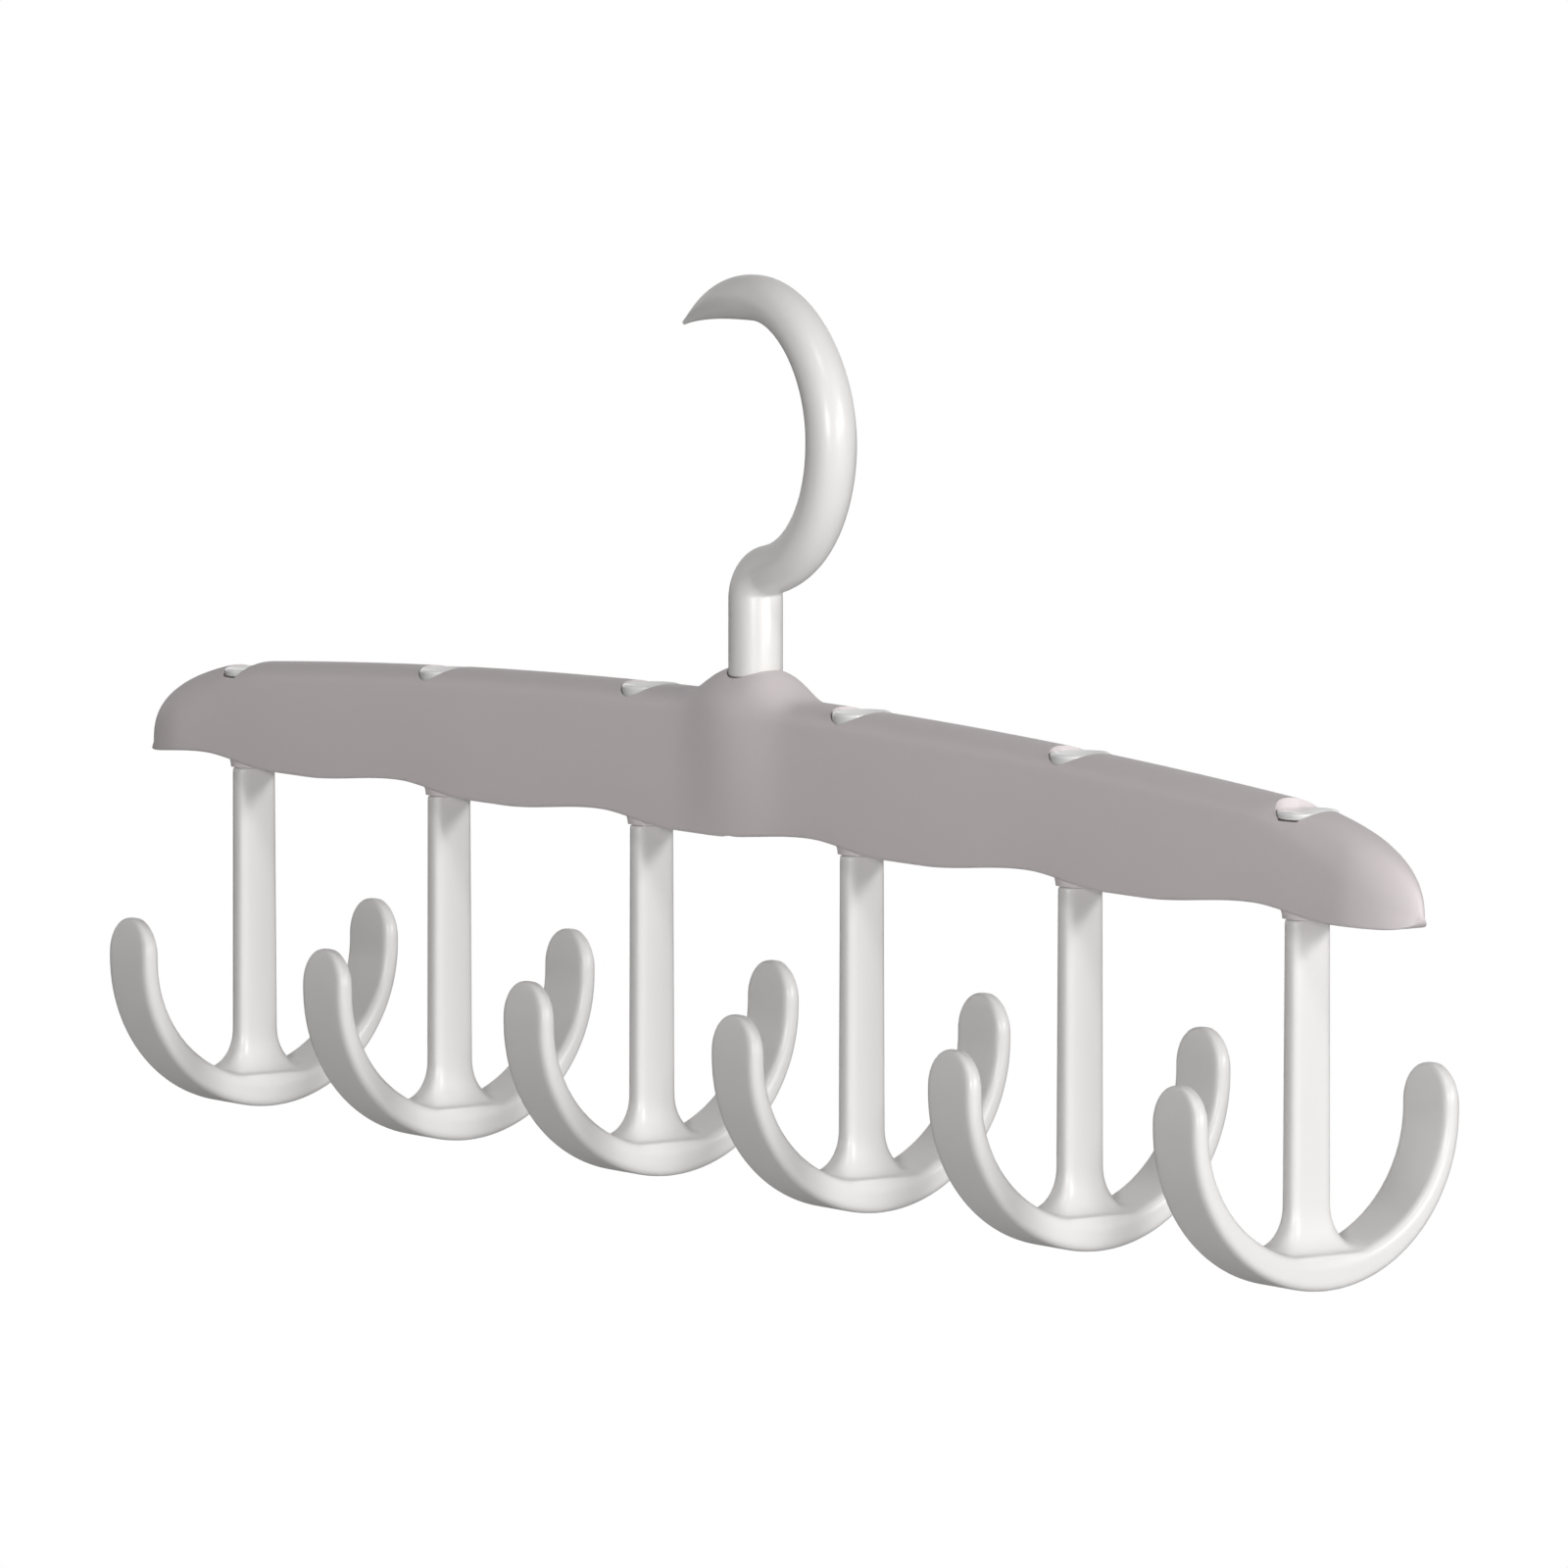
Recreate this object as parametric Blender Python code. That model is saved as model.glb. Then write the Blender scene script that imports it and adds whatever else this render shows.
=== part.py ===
"""A rail hanger with six turning double hooks, piece by piece.

Metres, +Z up. X runs along the beam, Y is the thickness of the beam, and the origin is the rail seat:
the highest point inside the bow of the main hook, where the hanger rests on its rail. The shank of the
main hook turns in the middle of the beam, and each double hook turns on its own upright pin. At rest
the double hooks stand square to the beam.
"""

from math import asin, atan2, cos, pi, radians, sin, sqrt

import bmesh
import bpy
from mathutils import Vector

# Main hook: a round rod that is bent in the plane of the beam
BOW_REACH = 0.0235          # from the axis of the shank out to the centre-line of the bow
BOW_RISE = 0.0259           # from the middle of the bow up to its centre-line
BOW_TOP_RADIUS = 0.0043     # rod where it rests on the rail
BOW_SIDE_RADIUS = 0.0048    # rod at the side of the bow
BOW_END_RADIUS = 0.0047     # rod where the elbow begins
SHANK_RADIUS = 0.0051
ELBOW_CREASE = 0.0004       # radius left in the inner corner of the elbow
TIP_REACH = 0.0225          # from the axis of the shank out to the point
TIP_DROP = 0.0060           # from the top of the centre-line down to the point
TIP_POINT_RADIUS = 0.0004
SHANK_LENGTH = 0.0148       # straight, from the elbow to the shoulder
BOW_START = radians(90)
SMALL_TURN = radians(0.05)
TIP_CURVE_SHARE = 0.50      # place of the tip curve's control point along its reach
TIP_TAPER_POWER = 1.2
SHOULDER_FLATTEN = 0.012     # how much the bow is drawn in between its top and its side
LOWER_FLATTEN = 0.030       # how much it is drawn in where it runs down to the elbow

# Spindle of the main hook, with its washer and clip
SPINDLE_RADIUS = 0.0032
SPINDLE_TAIL = 0.0016       # below the clip
SPINDLE_CHAMFER = 0.0007
GROOVE_DEPTH = 0.0007
WASHER_RADIUS = 0.0051
WASHER_THICKNESS = 0.0008
CLIP_RADIUS = 0.0052
CLIP_THICKNESS = 0.0012
CLIP_OPENING = radians(80)

# Clearances
SEAT_GAP = 0.0003           # between faces that rest on each other
RUNNING_GAP = 0.0003        # round a shaft that turns
PUSH_GAP = 0.0002           # round a spigot that is pushed home

# Beam: one moulding, open below
BEAM_LENGTH = 0.398
BEAM_HEIGHT = 0.0267        # in the middle, without the hump
BEAM_HALF_THICKNESS = 0.0066
BEAM_DRAFT = 0.0004         # how much each wall leans in towards the top
CROWN_HEIGHT = 0.0030       # rounded top edge
CROWN_POWER = 2.2
FOOT_RADIUS = 0.0007        # rounding of the lower edges
ARCH_SAG = 0.0065           # how much lower the top is at the outer pins
WALL = 0.0021
ROOF = 0.0026
OVERRUN = 0.0020            # how far cutters pass the faces they open
NOSE_LENGTH = 0.040
NOSE_CORE = 0.022           # solid length of each nose
NOSE_TOE = 0.0032           # height of the top line at the very end
TOE_LIFT = 0.0008           # how far the lower edge is rounded up there
NOSE_POWER = 2.2
NOSE_END_HALF = 0.0016      # half the thickness that is left at the very end
NOSE_THIN_POWER = 2.4
TOE_POWER = 14
NOSE_CROWN_SHARE = 0.72
WAVE_DEPTH = 0.0020         # how far the lower edge climbs before each hook
WAVE_START_SHARE = 0.40     # shares of the pitch, from the hook before
WAVE_PEAK_SHARE = 0.87
WAVE_END_SHARE = 1.22

# Hump and socket in the middle of the beam
HUMP_RISE = 0.0050
HUMP_REACH = 0.0180
HUMP_FLAT = 0.0040          # half the length of its level top
HUMP_SWELL = 0.0014
WASHER_RECESS = 0.0030      # depth of the washer's seat, which hides the end of the shank
SOCKET_RADIUS = 0.0086
SOCKET_LENGTH = 0.0195      # from the washer's seat down to the clip
WELL_WALL = 0.0022          # wall round the well that holds the clip

# Pins, seats and collars, one set for each double hook
HOOK_COUNT = 6
END_LENGTH = 0.034          # from the outer pins to the ends of the beam
HOOK_PITCH = (BEAM_LENGTH - 2 * END_LENGTH) / (HOOK_COUNT - 1)
PIN_RADIUS = 0.0019
SPIGOT_RADIUS = 0.0013
SPIGOT_LENGTH = 0.0010
CAP_RADIUS = 0.0051
CAP_RIM = 0.0010
CAP_DOME = 0.0009
CAP_BEVEL = 0.0003
CAP_DOME_SHARES = (0.82, 0.42)
CAP_SEAT_DEPTH = 0.0030
SEAT_WALL = 0.0014
COLLAR_DROP = 0.0004        # how far the collar stands below the beam
COLLAR_HEIGHT = 0.0032
COLLAR_RADIUS = 0.0045
COLLAR_FLARE = 0.0050       # along the beam
COLLAR_SWELL = 0.0014       # across the beam
RIB_THICKNESS = 0.0016
RIB_CLEARANCE = 0.0090      # from the lower edge of the beam up to a rib

# Double hook
STEM_LENGTH = 0.0359        # from the shoulder down to where the arms start to bend
STEM_HALF_WIDTH = 0.0044    # across the hook, at the top
STEM_HALF_DEPTH = 0.0020    # along the beam
STEM_GROWTH = 0.0002        # how much wider each side is above the flare
STEM_CORNER = 0.0016
FLARE_HEIGHT = 0.0095
FLARE_WIDTH = 0.0078
FLARE_DEPTH = 0.0044
FLARE_SINK = 0.0003         # how far the edge of the flare lies inside the band
ARM_RADIUS = 0.03035        # outer face of both arms
ARM_RISE = 0.0083           # arms go on above the bend
ARM_HALF_BREADTH = 0.0069
ARM_SIDE_THICKNESS = 0.0035
ARM_BOTTOM_THICKNESS = 0.0058
ARM_EDGE_RADIUS = 0.0012
ARM_TIP_THICKNESS_SHARE = 0.55
ARM_TIP_STEPS_SHARES = (0.02, 0.16, 0.42, 0.75)

# Facets
ROD_SIDES = 18
SHAFT_SIDES = 24
RING_SIDES = 32
CAP_SIDES = 20
CORNER_STEPS = 3
CROWN_STEPS = 8
BOW_STEPS = 14
TIP_STEPS = 9
ELBOW_STEPS = 6
BEND_STEPS = 16
FLARE_STEPS = 4
COLLAR_STEPS = 4
BAY_SHARES = (0.0, 0.11, 0.22, 0.40, 0.52, 0.64, 0.75, 0.87)
HUMP_SHARES = (0.0, 0.24, 0.46, 0.66, 0.82, 0.93, 1.0)
NOSE_SHARES = (0.17, 0.40, 0.61, 0.79, 0.91, 0.975, 0.997)
SMOOTH_ANGLE = radians(32)

# Colours: sRGB values turned to linear ones by colour()
MOULDED_WHITE = (0.90, 0.885, 0.87)
BEAM_WHITE = (0.86, 0.845, 0.83)
CAP_WHITE = (0.95, 0.945, 0.94)
NYLON = (0.93, 0.93, 0.91)
SPRING_STEEL = (0.62, 0.62, 0.63)


def remove_all():
    """Start from an empty scene."""
    for item in list(bpy.data.objects):
        bpy.data.objects.remove(item, do_unlink=True)


def colour(srgb):
    """Linear RGBA of an sRGB colour."""
    return tuple(((c + 0.055) / 1.055) ** 2.4 for c in srgb) + (1.0,)


def material(name, srgb, roughness, metallic=0.0):
    """A Principled material with one plain finish."""
    finish = bpy.data.materials.new(name)
    finish.use_nodes = True
    shader = finish.node_tree.nodes["Principled BSDF"]
    shader.inputs["Base Color"].default_value = colour(srgb)
    shader.inputs["Roughness"].default_value = roughness
    shader.inputs["Metallic"].default_value = metallic
    finish.diffuse_color = colour(srgb)
    return finish


def circle(centre, radius, side, up, count):
    """Points round a centre, in the plane of two unit directions."""
    turns = [2 * pi * (i + 0.5) / count for i in range(count)]
    return [centre + side * (radius * cos(t)) + up * (radius * sin(t)) for t in turns]


def flat_ring(radius, z, count, stretch=1.0, x=0.0):
    """A level circle, or an ellipse that is stretched along X."""
    return [Vector((x + (p.x - x) * stretch, p.y, p.z))
            for p in circle(Vector((x, 0, z)), radius, Vector((1, 0, 0)), Vector((0, 1, 0)), count)]


def rounded_box(half_u, half_v, corner, steps=CORNER_STEPS):
    """Outline of a rectangle with round corners, as (u, v) pairs, anticlockwise."""
    corner = min(corner, half_u, half_v)
    outline = []
    for quarter, (su, sv) in enumerate(((1, 1), (-1, 1), (-1, -1), (1, -1))):
        for i in range(steps + 1):
            turn = (quarter + i / steps) * pi / 2
            u = su * (half_u - corner) + corner * cos(turn)
            v = sv * (half_v - corner) + corner * sin(turn)
            outline.append((u, v))
    return outline


def skin(bm, rings, closed=False):
    """Join rings of equal length by quads, and close the ends unless the rings meet."""
    rows = [[bm.verts.new(p) for p in ring] for ring in rings]
    count = len(rows[0])
    pairs = list(zip(rows, rows[1:]))
    if closed:
        pairs.append((rows[-1], rows[0]))
    for a, b in pairs:
        for i in range(count):
            j = (i + 1) % count
            bm.faces.new((a[i], a[j], b[j], b[i]))
    if not closed:
        bm.faces.new(rows[0])
        bm.faces.new(rows[-1])


def add_object(name, bodies, finish=None, origin=(0, 0, 0), closed=False):
    """An object made of one or more lofted bodies; each body is a list of rings in world places."""
    bm = bmesh.new()
    for rings in bodies:
        skin(bm, rings, closed)
    bmesh.ops.recalc_face_normals(bm, faces=bm.faces)
    bmesh.ops.translate(bm, verts=bm.verts, vec=-Vector(origin))
    mesh = bpy.data.meshes.new(name)
    bm.to_mesh(mesh)
    bm.free()
    thing = bpy.data.objects.new(name, mesh)
    thing.location = origin
    bpy.context.scene.collection.objects.link(thing)
    if finish:
        mesh.materials.append(finish)
        mesh.shade_smooth()
        mesh.set_sharp_from_angle(angle=SMOOTH_ANGLE)
    else:
        thing.hide_render = True
        thing.display_type = "WIRE"
    return thing


def combine(target, tool, operation):
    """Cut, or add, one closed shape with another."""
    step = target.modifiers.new(tool.name, "BOOLEAN")
    step.operation = operation
    step.solver = "EXACT"
    step.object = tool


def parent(child, owner):
    """Hang a piece on its owner and keep its place."""
    bpy.context.view_layer.update()
    child.parent = owner
    child.matrix_parent_inverse = owner.matrix_world.inverted()


def turned(profile, count, x=0.0):
    """Rings of a turned body on an upright axis, from (radius, height) pairs."""
    return [flat_ring(radius, z, count, x=x) for radius, z in profile]


def hoop(inner, outer, low, high, opening, count):
    """Square-edged sections swept round the Z axis; without an opening the last one is left out."""
    sections = []
    start, end = opening / 2, 2 * pi - opening / 2
    for i in range(count + 1 if opening else count):
        turn = start + (end - start) * i / count
        way = Vector((cos(turn), sin(turn), 0))
        corners = ((inner, low), (outer, low), (outer, high), (inner, high))
        sections.append([way * r + Vector((0, 0, z)) for r, z in corners])
    return sections


# Levels that follow from the sizes
BOW_MIDDLE_Z = BOW_TOP_RADIUS - BOW_RISE


def bow_point(angle):
    """Centre-line of the bow: an upright ellipse, drawn in a little above and below its side."""
    if angle > 0:
        size = 1 - SHOULDER_FLATTEN * sin(2 * angle) ** 2
    else:
        size = 1 - LOWER_FLATTEN * sin(angle) ** 4
    return Vector((BOW_REACH * size * cos(angle), 0, BOW_MIDDLE_Z + BOW_RISE * size * sin(angle)))


def bow_heading(angle):
    """Direction of the rod there, on its way from the tip to the shank."""
    return (bow_point(angle - SMALL_TURN) - bow_point(angle + SMALL_TURN)).normalized()


def elbow_start():
    """Angle on the bow where the elbow begins, and the turn that the elbow makes from there."""
    bend = SHANK_RADIUS + ELBOW_CREASE
    low, high = -pi / 2, -pi / 4
    for _ in range(50):
        angle = (low + high) / 2
        heading = bow_heading(angle)
        turn = atan2(-heading.x, -heading.z)
        if bow_point(angle).x > bend * (1 - cos(turn)):
            high = angle
        else:
            low = angle
    return angle, turn, bend


ELBOW_ANGLE, ELBOW_TURN, ELBOW_BEND = elbow_start()
ELBOW_END_Z = bow_point(ELBOW_ANGLE).z - ELBOW_BEND * sin(ELBOW_TURN)
SHOULDER_Z = ELBOW_END_Z - SHANK_LENGTH
WASHER_TOP_Z = SHOULDER_Z - SEAT_GAP
WASHER_SEAT_Z = WASHER_TOP_Z - WASHER_THICKNESS - SEAT_GAP
HUMP_TOP_Z = WASHER_SEAT_Z + WASHER_RECESS
RIDGE_Z = HUMP_TOP_Z - HUMP_RISE
LOWER_EDGE_Z = RIDGE_Z - BEAM_HEIGHT
SOCKET_END_Z = WASHER_SEAT_Z - SOCKET_LENGTH
CLIP_TOP_Z = SOCKET_END_Z - SEAT_GAP
CLIP_LOW_Z = CLIP_TOP_Z - CLIP_THICKNESS
COLLAR_END_Z = LOWER_EDGE_Z - COLLAR_DROP
STEM_TOP_Z = COLLAR_END_Z - SEAT_GAP
BEND_Z = STEM_TOP_Z - STEM_LENGTH
PIN_PLACES = [(i - (HOOK_COUNT - 1) / 2) * HOOK_PITCH for i in range(HOOK_COUNT)]
OUTER_PIN = PIN_PLACES[-1]
HALF_LENGTH = BEAM_LENGTH / 2


def nose_share(x):
    """0 along the beam and 1 at its very end."""
    return min(1.0, max(0.0, (abs(x) - HALF_LENGTH + NOSE_LENGTH) / NOSE_LENGTH))


def hump_share(x):
    """1 on the level top of the hump and 0 outside it, with a bell's flank between."""
    way = min(1.0, max(0.0, (abs(x) - HUMP_FLAT) / (HUMP_REACH - HUMP_FLAT)))
    return 0.5 * (1 + cos(pi * way))


def arch(x):
    """Top line of the beam without hump and noses."""
    return RIDGE_Z - ARCH_SAG * (x / OUTER_PIN) ** 2


def lower_edge(x):
    """Lower line of the walls: it climbs before each hook, falls again past it and then runs level."""
    share = ((x - PIN_PLACES[0]) / HOOK_PITCH) % 1.0
    if share < WAVE_END_SHARE - 1:
        share += 1
    if share < WAVE_START_SHARE:
        climb = 0.0
    elif share < WAVE_PEAK_SHARE:
        climb = (share - WAVE_START_SHARE) / (WAVE_PEAK_SHARE - WAVE_START_SHARE)
    else:
        climb = (WAVE_END_SHARE - share) / (WAVE_END_SHARE - WAVE_PEAK_SHARE)
    toe = TOE_LIFT * (1 - sqrt(1 - nose_share(x) ** TOE_POWER))
    return LOWER_EDGE_Z + WAVE_DEPTH * climb * climb * (3 - 2 * climb) + toe


def top_line(x):
    """Top of the beam with its hump and its falling noses."""
    fall = 1 - sqrt(1 - nose_share(x) ** NOSE_POWER)
    end = LOWER_EDGE_Z + NOSE_TOE
    return arch(x) + HUMP_RISE * hump_share(x) - (arch(x) - end) * fall


def half_thickness(x):
    """Half the thickness of the beam at its lower edge."""
    full = BEAM_HALF_THICKNESS + HUMP_SWELL * hump_share(x)
    return NOSE_END_HALF + (full - NOSE_END_HALF) * sqrt(1 - nose_share(x) ** NOSE_THIN_POWER)


def beam_section(x):
    """Outline of the beam across X: two walls, a rounded crown and rounded feet."""
    top, low, half = top_line(x), lower_edge(x), half_thickness(x)
    height = top - low
    crown = CROWN_HEIGHT + HUMP_RISE * hump_share(x)
    crown += (NOSE_CROWN_SHARE * height - crown) * nose_share(x)
    foot = min(FOOT_RADIUS, half / 2, height / 4)
    lean = min(BEAM_DRAFT, half / 2)
    points = [(half - foot, low), (half, low + foot)]
    for i in range(CROWN_STEPS + 1):
        turn = pi * i / CROWN_STEPS
        side = 1 if turn < pi / 2 else -1
        across = side * (half - lean) * abs(cos(turn)) ** (2 / CROWN_POWER)
        points.append((across, top - crown + crown * sin(turn) ** (2 / CROWN_POWER)))
    points += [(-half, low + foot), (-half + foot, low)]
    return [Vector((x, y, z)) for y, z in points]


def beam_stations():
    """Places along the beam where its section is drawn."""
    places = {OUTER_PIN}
    for start in PIN_PLACES[:-1]:
        places.update(start + HOOK_PITCH * share for share in BAY_SHARES)
    places = {x for x in places if abs(x) > HUMP_REACH}
    places.update(side * HUMP_REACH * share for side in (-1, 1) for share in HUMP_SHARES)
    for share in NOSE_SHARES:
        place = HALF_LENGTH - NOSE_LENGTH * (1 - share)
        places.update((-place, place))
    return sorted(places)


def cavity_section(x):
    """Outline of the hollow inside the beam."""
    half = min(half_thickness(x), BEAM_HALF_THICKNESS) - WALL
    roof = min(arch(x), top_line(x)) - ROOF
    low = LOWER_EDGE_Z - OVERRUN - COLLAR_DROP
    shoulder = roof - CROWN_HEIGHT / 2
    points = ((half, low), (half, shoulder), (half - WALL / 2, roof),
              (-half + WALL / 2, roof), (-half, shoulder), (-half, low))
    return [Vector((x, y, z)) for y, z in points]


def box_rings(centre_x, half_x, half_y, low, high):
    """A plain block as two rings."""
    return [[Vector((x, y, z)) for y, z in ((-half_y, low), (half_y, low), (half_y, high), (-half_y, high))]
            for x in (centre_x - half_x, centre_x + half_x)]


def make_cavity():
    """Hollow of the beam, left solid where the bosses, the socket and the ribs stand."""
    end = HALF_LENGTH - NOSE_CORE
    steps = round(2 * OUTER_PIN / HOOK_PITCH * 2)
    places = [-end] + [-OUTER_PIN + 2 * OUTER_PIN * i / steps for i in range(steps + 1)] + [end]
    cavity = add_object("cavity_cutter", [[cavity_section(x) for x in places]])
    low, high = COLLAR_END_Z - 2 * OVERRUN, HUMP_TOP_Z + OVERRUN
    boss = CAP_RADIUS + RUNNING_GAP + SEAT_WALL
    keep = [turned(((boss, low), (boss, high)), SHAFT_SIDES, x) for x in PIN_PLACES]
    keep.append(turned(((SOCKET_RADIUS, low), (SOCKET_RADIUS, high)), RING_SIDES))
    middles = [(a + b) / 2 for a, b in zip(PIN_PLACES, PIN_PLACES[1:])]
    for x in middles:
        if abs(x) > SOCKET_RADIUS:
            keep.append(box_rings(x, RIB_THICKNESS / 2, BEAM_HALF_THICKNESS,
                                  LOWER_EDGE_Z + RIB_CLEARANCE, high))
    combine(cavity, add_object("boss_and_rib_shapes", keep), "DIFFERENCE")
    return cavity


def collar_rings(x):
    """Short trumpet below each boss, as broad as the beam allows and flared along it."""
    rings = []
    for i in range(COLLAR_STEPS + 1):
        share = i / COLLAR_STEPS
        grow = 1 - sqrt(1 - share ** 2)
        across = COLLAR_RADIUS + COLLAR_SWELL * grow
        along = COLLAR_RADIUS + COLLAR_FLARE * grow
        z = COLLAR_END_Z + COLLAR_HEIGHT * share
        rings.append(flat_ring(across, z, SHAFT_SIDES, along / across, x))
    return rings


def cap_seat_z(x):
    """Floor of the round seat that the cap of a pin lies in."""
    return arch(x) - CAP_SEAT_DEPTH


def make_beam(finish):
    """The moulded bar: outer form and collars, less the hollow, the pin holes and the socket."""
    beam = add_object("beam", [[beam_section(x) for x in beam_stations()]], finish)
    combine(beam, add_object("collar_shapes", [collar_rings(x) for x in PIN_PLACES]), "UNION")
    combine(beam, make_cavity(), "DIFFERENCE")
    bore, seat = PIN_RADIUS + RUNNING_GAP, CAP_RADIUS + RUNNING_GAP
    low, high = COLLAR_END_Z - OVERRUN, HUMP_TOP_Z + OVERRUN
    holes = []
    for x in PIN_PLACES:
        floor = cap_seat_z(x)
        holes.append(turned(((bore, low), (bore, floor), (seat, floor), (seat, high)), SHAFT_SIDES, x))
    combine(beam, add_object("pin_hole_cutters", holes), "DIFFERENCE")
    well, hole = SOCKET_RADIUS - WELL_WALL, SPINDLE_RADIUS + RUNNING_GAP
    recess = WASHER_RADIUS + RUNNING_GAP
    socket = turned(((well, low), (well, SOCKET_END_Z), (hole, SOCKET_END_Z), (hole, WASHER_SEAT_Z),
                     (recess, WASHER_SEAT_Z), (recess, high)), SHAFT_SIDES)
    combine(beam, add_object("socket_cutter", [socket]), "DIFFERENCE")
    return beam


def rod_ring(centre, heading, radius):
    """Section of the rod square to its heading."""
    side = Vector((heading.z, 0, -heading.x))
    return circle(centre, radius, side, Vector((0, 1, 0)), ROD_SIDES)


def tip_rings():
    """The pointed end: a parabola from the point to the top of the bow, with the rod growing along it."""
    top = bow_point(BOW_START)
    point = top + Vector((-TIP_REACH, 0, -TIP_DROP))
    control = top + Vector((-TIP_REACH * TIP_CURVE_SHARE, 0, 0))
    rings = []
    for i in range(TIP_STEPS):
        t = 1 - i / TIP_STEPS
        centre = top * (1 - t) ** 2 + control * (2 * t * (1 - t)) + point * t ** 2
        heading = (top - control) * (1 - t) + (control - point) * t
        radius = TIP_POINT_RADIUS + (BOW_TOP_RADIUS - TIP_POINT_RADIUS) * (1 - t * t) ** TIP_TAPER_POWER
        rings.append(rod_ring(centre, heading.normalized(), radius))
    return rings


def bow_radius(angle):
    """The rod thickens evenly from the rail to the side of the bow and thins again towards the elbow."""
    if angle > 0:
        return BOW_SIDE_RADIUS + (BOW_TOP_RADIUS - BOW_SIDE_RADIUS) * angle / BOW_START
    return BOW_SIDE_RADIUS + (BOW_END_RADIUS - BOW_SIDE_RADIUS) * angle / ELBOW_ANGLE


def bow_rings():
    """From the top of the bow, over its side, to the elbow."""
    angles = [BOW_START + (ELBOW_ANGLE - BOW_START) * i / BOW_STEPS for i in range(BOW_STEPS + 1)]
    return [rod_ring(bow_point(a), bow_heading(a), bow_radius(a)) for a in angles]


def elbow_rings():
    """The tight bend into the shank."""
    rings = []
    for i in range(1, ELBOW_STEPS + 1):
        share = i / ELBOW_STEPS
        turn = ELBOW_TURN * (1 - share)
        centre = Vector((ELBOW_BEND * (1 - cos(turn)), 0, ELBOW_END_Z + ELBOW_BEND * sin(turn)))
        radius = BOW_END_RADIUS + (SHANK_RADIUS - BOW_END_RADIUS) * share
        rings.append(rod_ring(centre, Vector((-sin(turn), 0, -cos(turn))), radius))
    return rings


def spindle_rings():
    """Shoulder, spindle, groove for the clip and chamfered tail."""
    groove = SPINDLE_RADIUS - GROOVE_DEPTH
    groove_top, groove_low = CLIP_TOP_Z + SEAT_GAP / 2, CLIP_LOW_Z - SEAT_GAP / 2
    tail = groove_low - SPINDLE_TAIL
    profile = ((SHANK_RADIUS, SHOULDER_Z), (SPINDLE_RADIUS, SHOULDER_Z), (SPINDLE_RADIUS, groove_top),
               (groove, groove_top), (groove, groove_low), (SPINDLE_RADIUS, groove_low),
               (SPINDLE_RADIUS, tail + SPINDLE_CHAMFER), (SPINDLE_RADIUS - SPINDLE_CHAMFER, tail))
    down = Vector((0, 0, -1))
    return [rod_ring(Vector((0, 0, z)), down, radius) for radius, z in profile]


def make_main_hook(finish):
    """One rod from the point to the tail of the spindle."""
    return add_object("main_hook", [tip_rings() + bow_rings() + elbow_rings() + spindle_rings()], finish)


def make_washer(finish):
    """Thin ring that the shank's shoulder turns on."""
    inner = SPINDLE_RADIUS + RUNNING_GAP
    low = WASHER_TOP_Z - WASHER_THICKNESS
    ring = hoop(inner, WASHER_RADIUS, low, WASHER_TOP_Z, 0, RING_SIDES)
    return add_object("swivel_washer", [ring], finish, closed=True)


def make_clip(finish):
    """Open spring ring in the groove, under the socket, that carries the beam."""
    inner = SPINDLE_RADIUS - GROOVE_DEPTH + PUSH_GAP
    ring = hoop(inner, CLIP_RADIUS, CLIP_LOW_Z, CLIP_TOP_Z, CLIP_OPENING, SHAFT_SIDES)
    return add_object("retaining_clip", [ring], finish)


def arm_thickness(turn):
    """Thickest at the bottom of the bend, where turn is 0, and even from the sides up."""
    return ARM_SIDE_THICKNESS + (ARM_BOTTOM_THICKNESS - ARM_SIDE_THICKNESS) * cos(turn) ** 2


def arm_ring(x, place, out, thickness, breadth):
    """Section of the arms: place is on the outer face, out is the way it looks."""
    edge = min(ARM_EDGE_RADIUS, thickness / 2, breadth)
    centre = place - out * (thickness / 2)
    return [centre + Vector((x + u, 0, 0)) + out * v
            for u, v in rounded_box(breadth, thickness / 2, edge, CORNER_STEPS - 1)]


def arm_rings(x):
    """Both arms as one band: up one side, round the bend and up the other side."""
    tip_z = BEND_Z + ARM_RISE
    ends = []
    for share in ARM_TIP_STEPS_SHARES:
        breadth = ARM_HALF_BREADTH * sqrt(1 - (1 - share) ** 2)
        thick = ARM_SIDE_THICKNESS * (ARM_TIP_THICKNESS_SHARE + (1 - ARM_TIP_THICKNESS_SHARE) * sqrt(share))
        ends.append((tip_z - ARM_HALF_BREADTH * share, thick, breadth))
    ends.append((tip_z - ARM_HALF_BREADTH, ARM_SIDE_THICKNESS, ARM_HALF_BREADTH))

    def end_rings(side):
        out = Vector((0, side, 0))
        inset = [(ARM_SIDE_THICKNESS - thick) / 2 for _, thick, _ in ends]
        return [arm_ring(x, Vector((0, side * (ARM_RADIUS - gap), z)), out, thick, breadth)
                for (z, thick, breadth), gap in zip(ends, inset)]

    bend = []
    for i in range(BEND_STEPS + 1):
        turn = -pi / 2 + pi * i / BEND_STEPS
        out = Vector((0, sin(turn), -cos(turn)))
        bend.append(arm_ring(x, Vector((0, 0, BEND_Z)) + out * ARM_RADIUS, out, arm_thickness(turn),
                             ARM_HALF_BREADTH))
    return end_rings(-1) + bend + end_rings(1)[::-1]


def stem_ring(x, z, half_width, half_depth):
    """Level section of the stem, with the depth along the beam."""
    return [Vector((x + u, v, z)) for u, v in rounded_box(half_depth, half_width, STEM_CORNER)]


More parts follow.
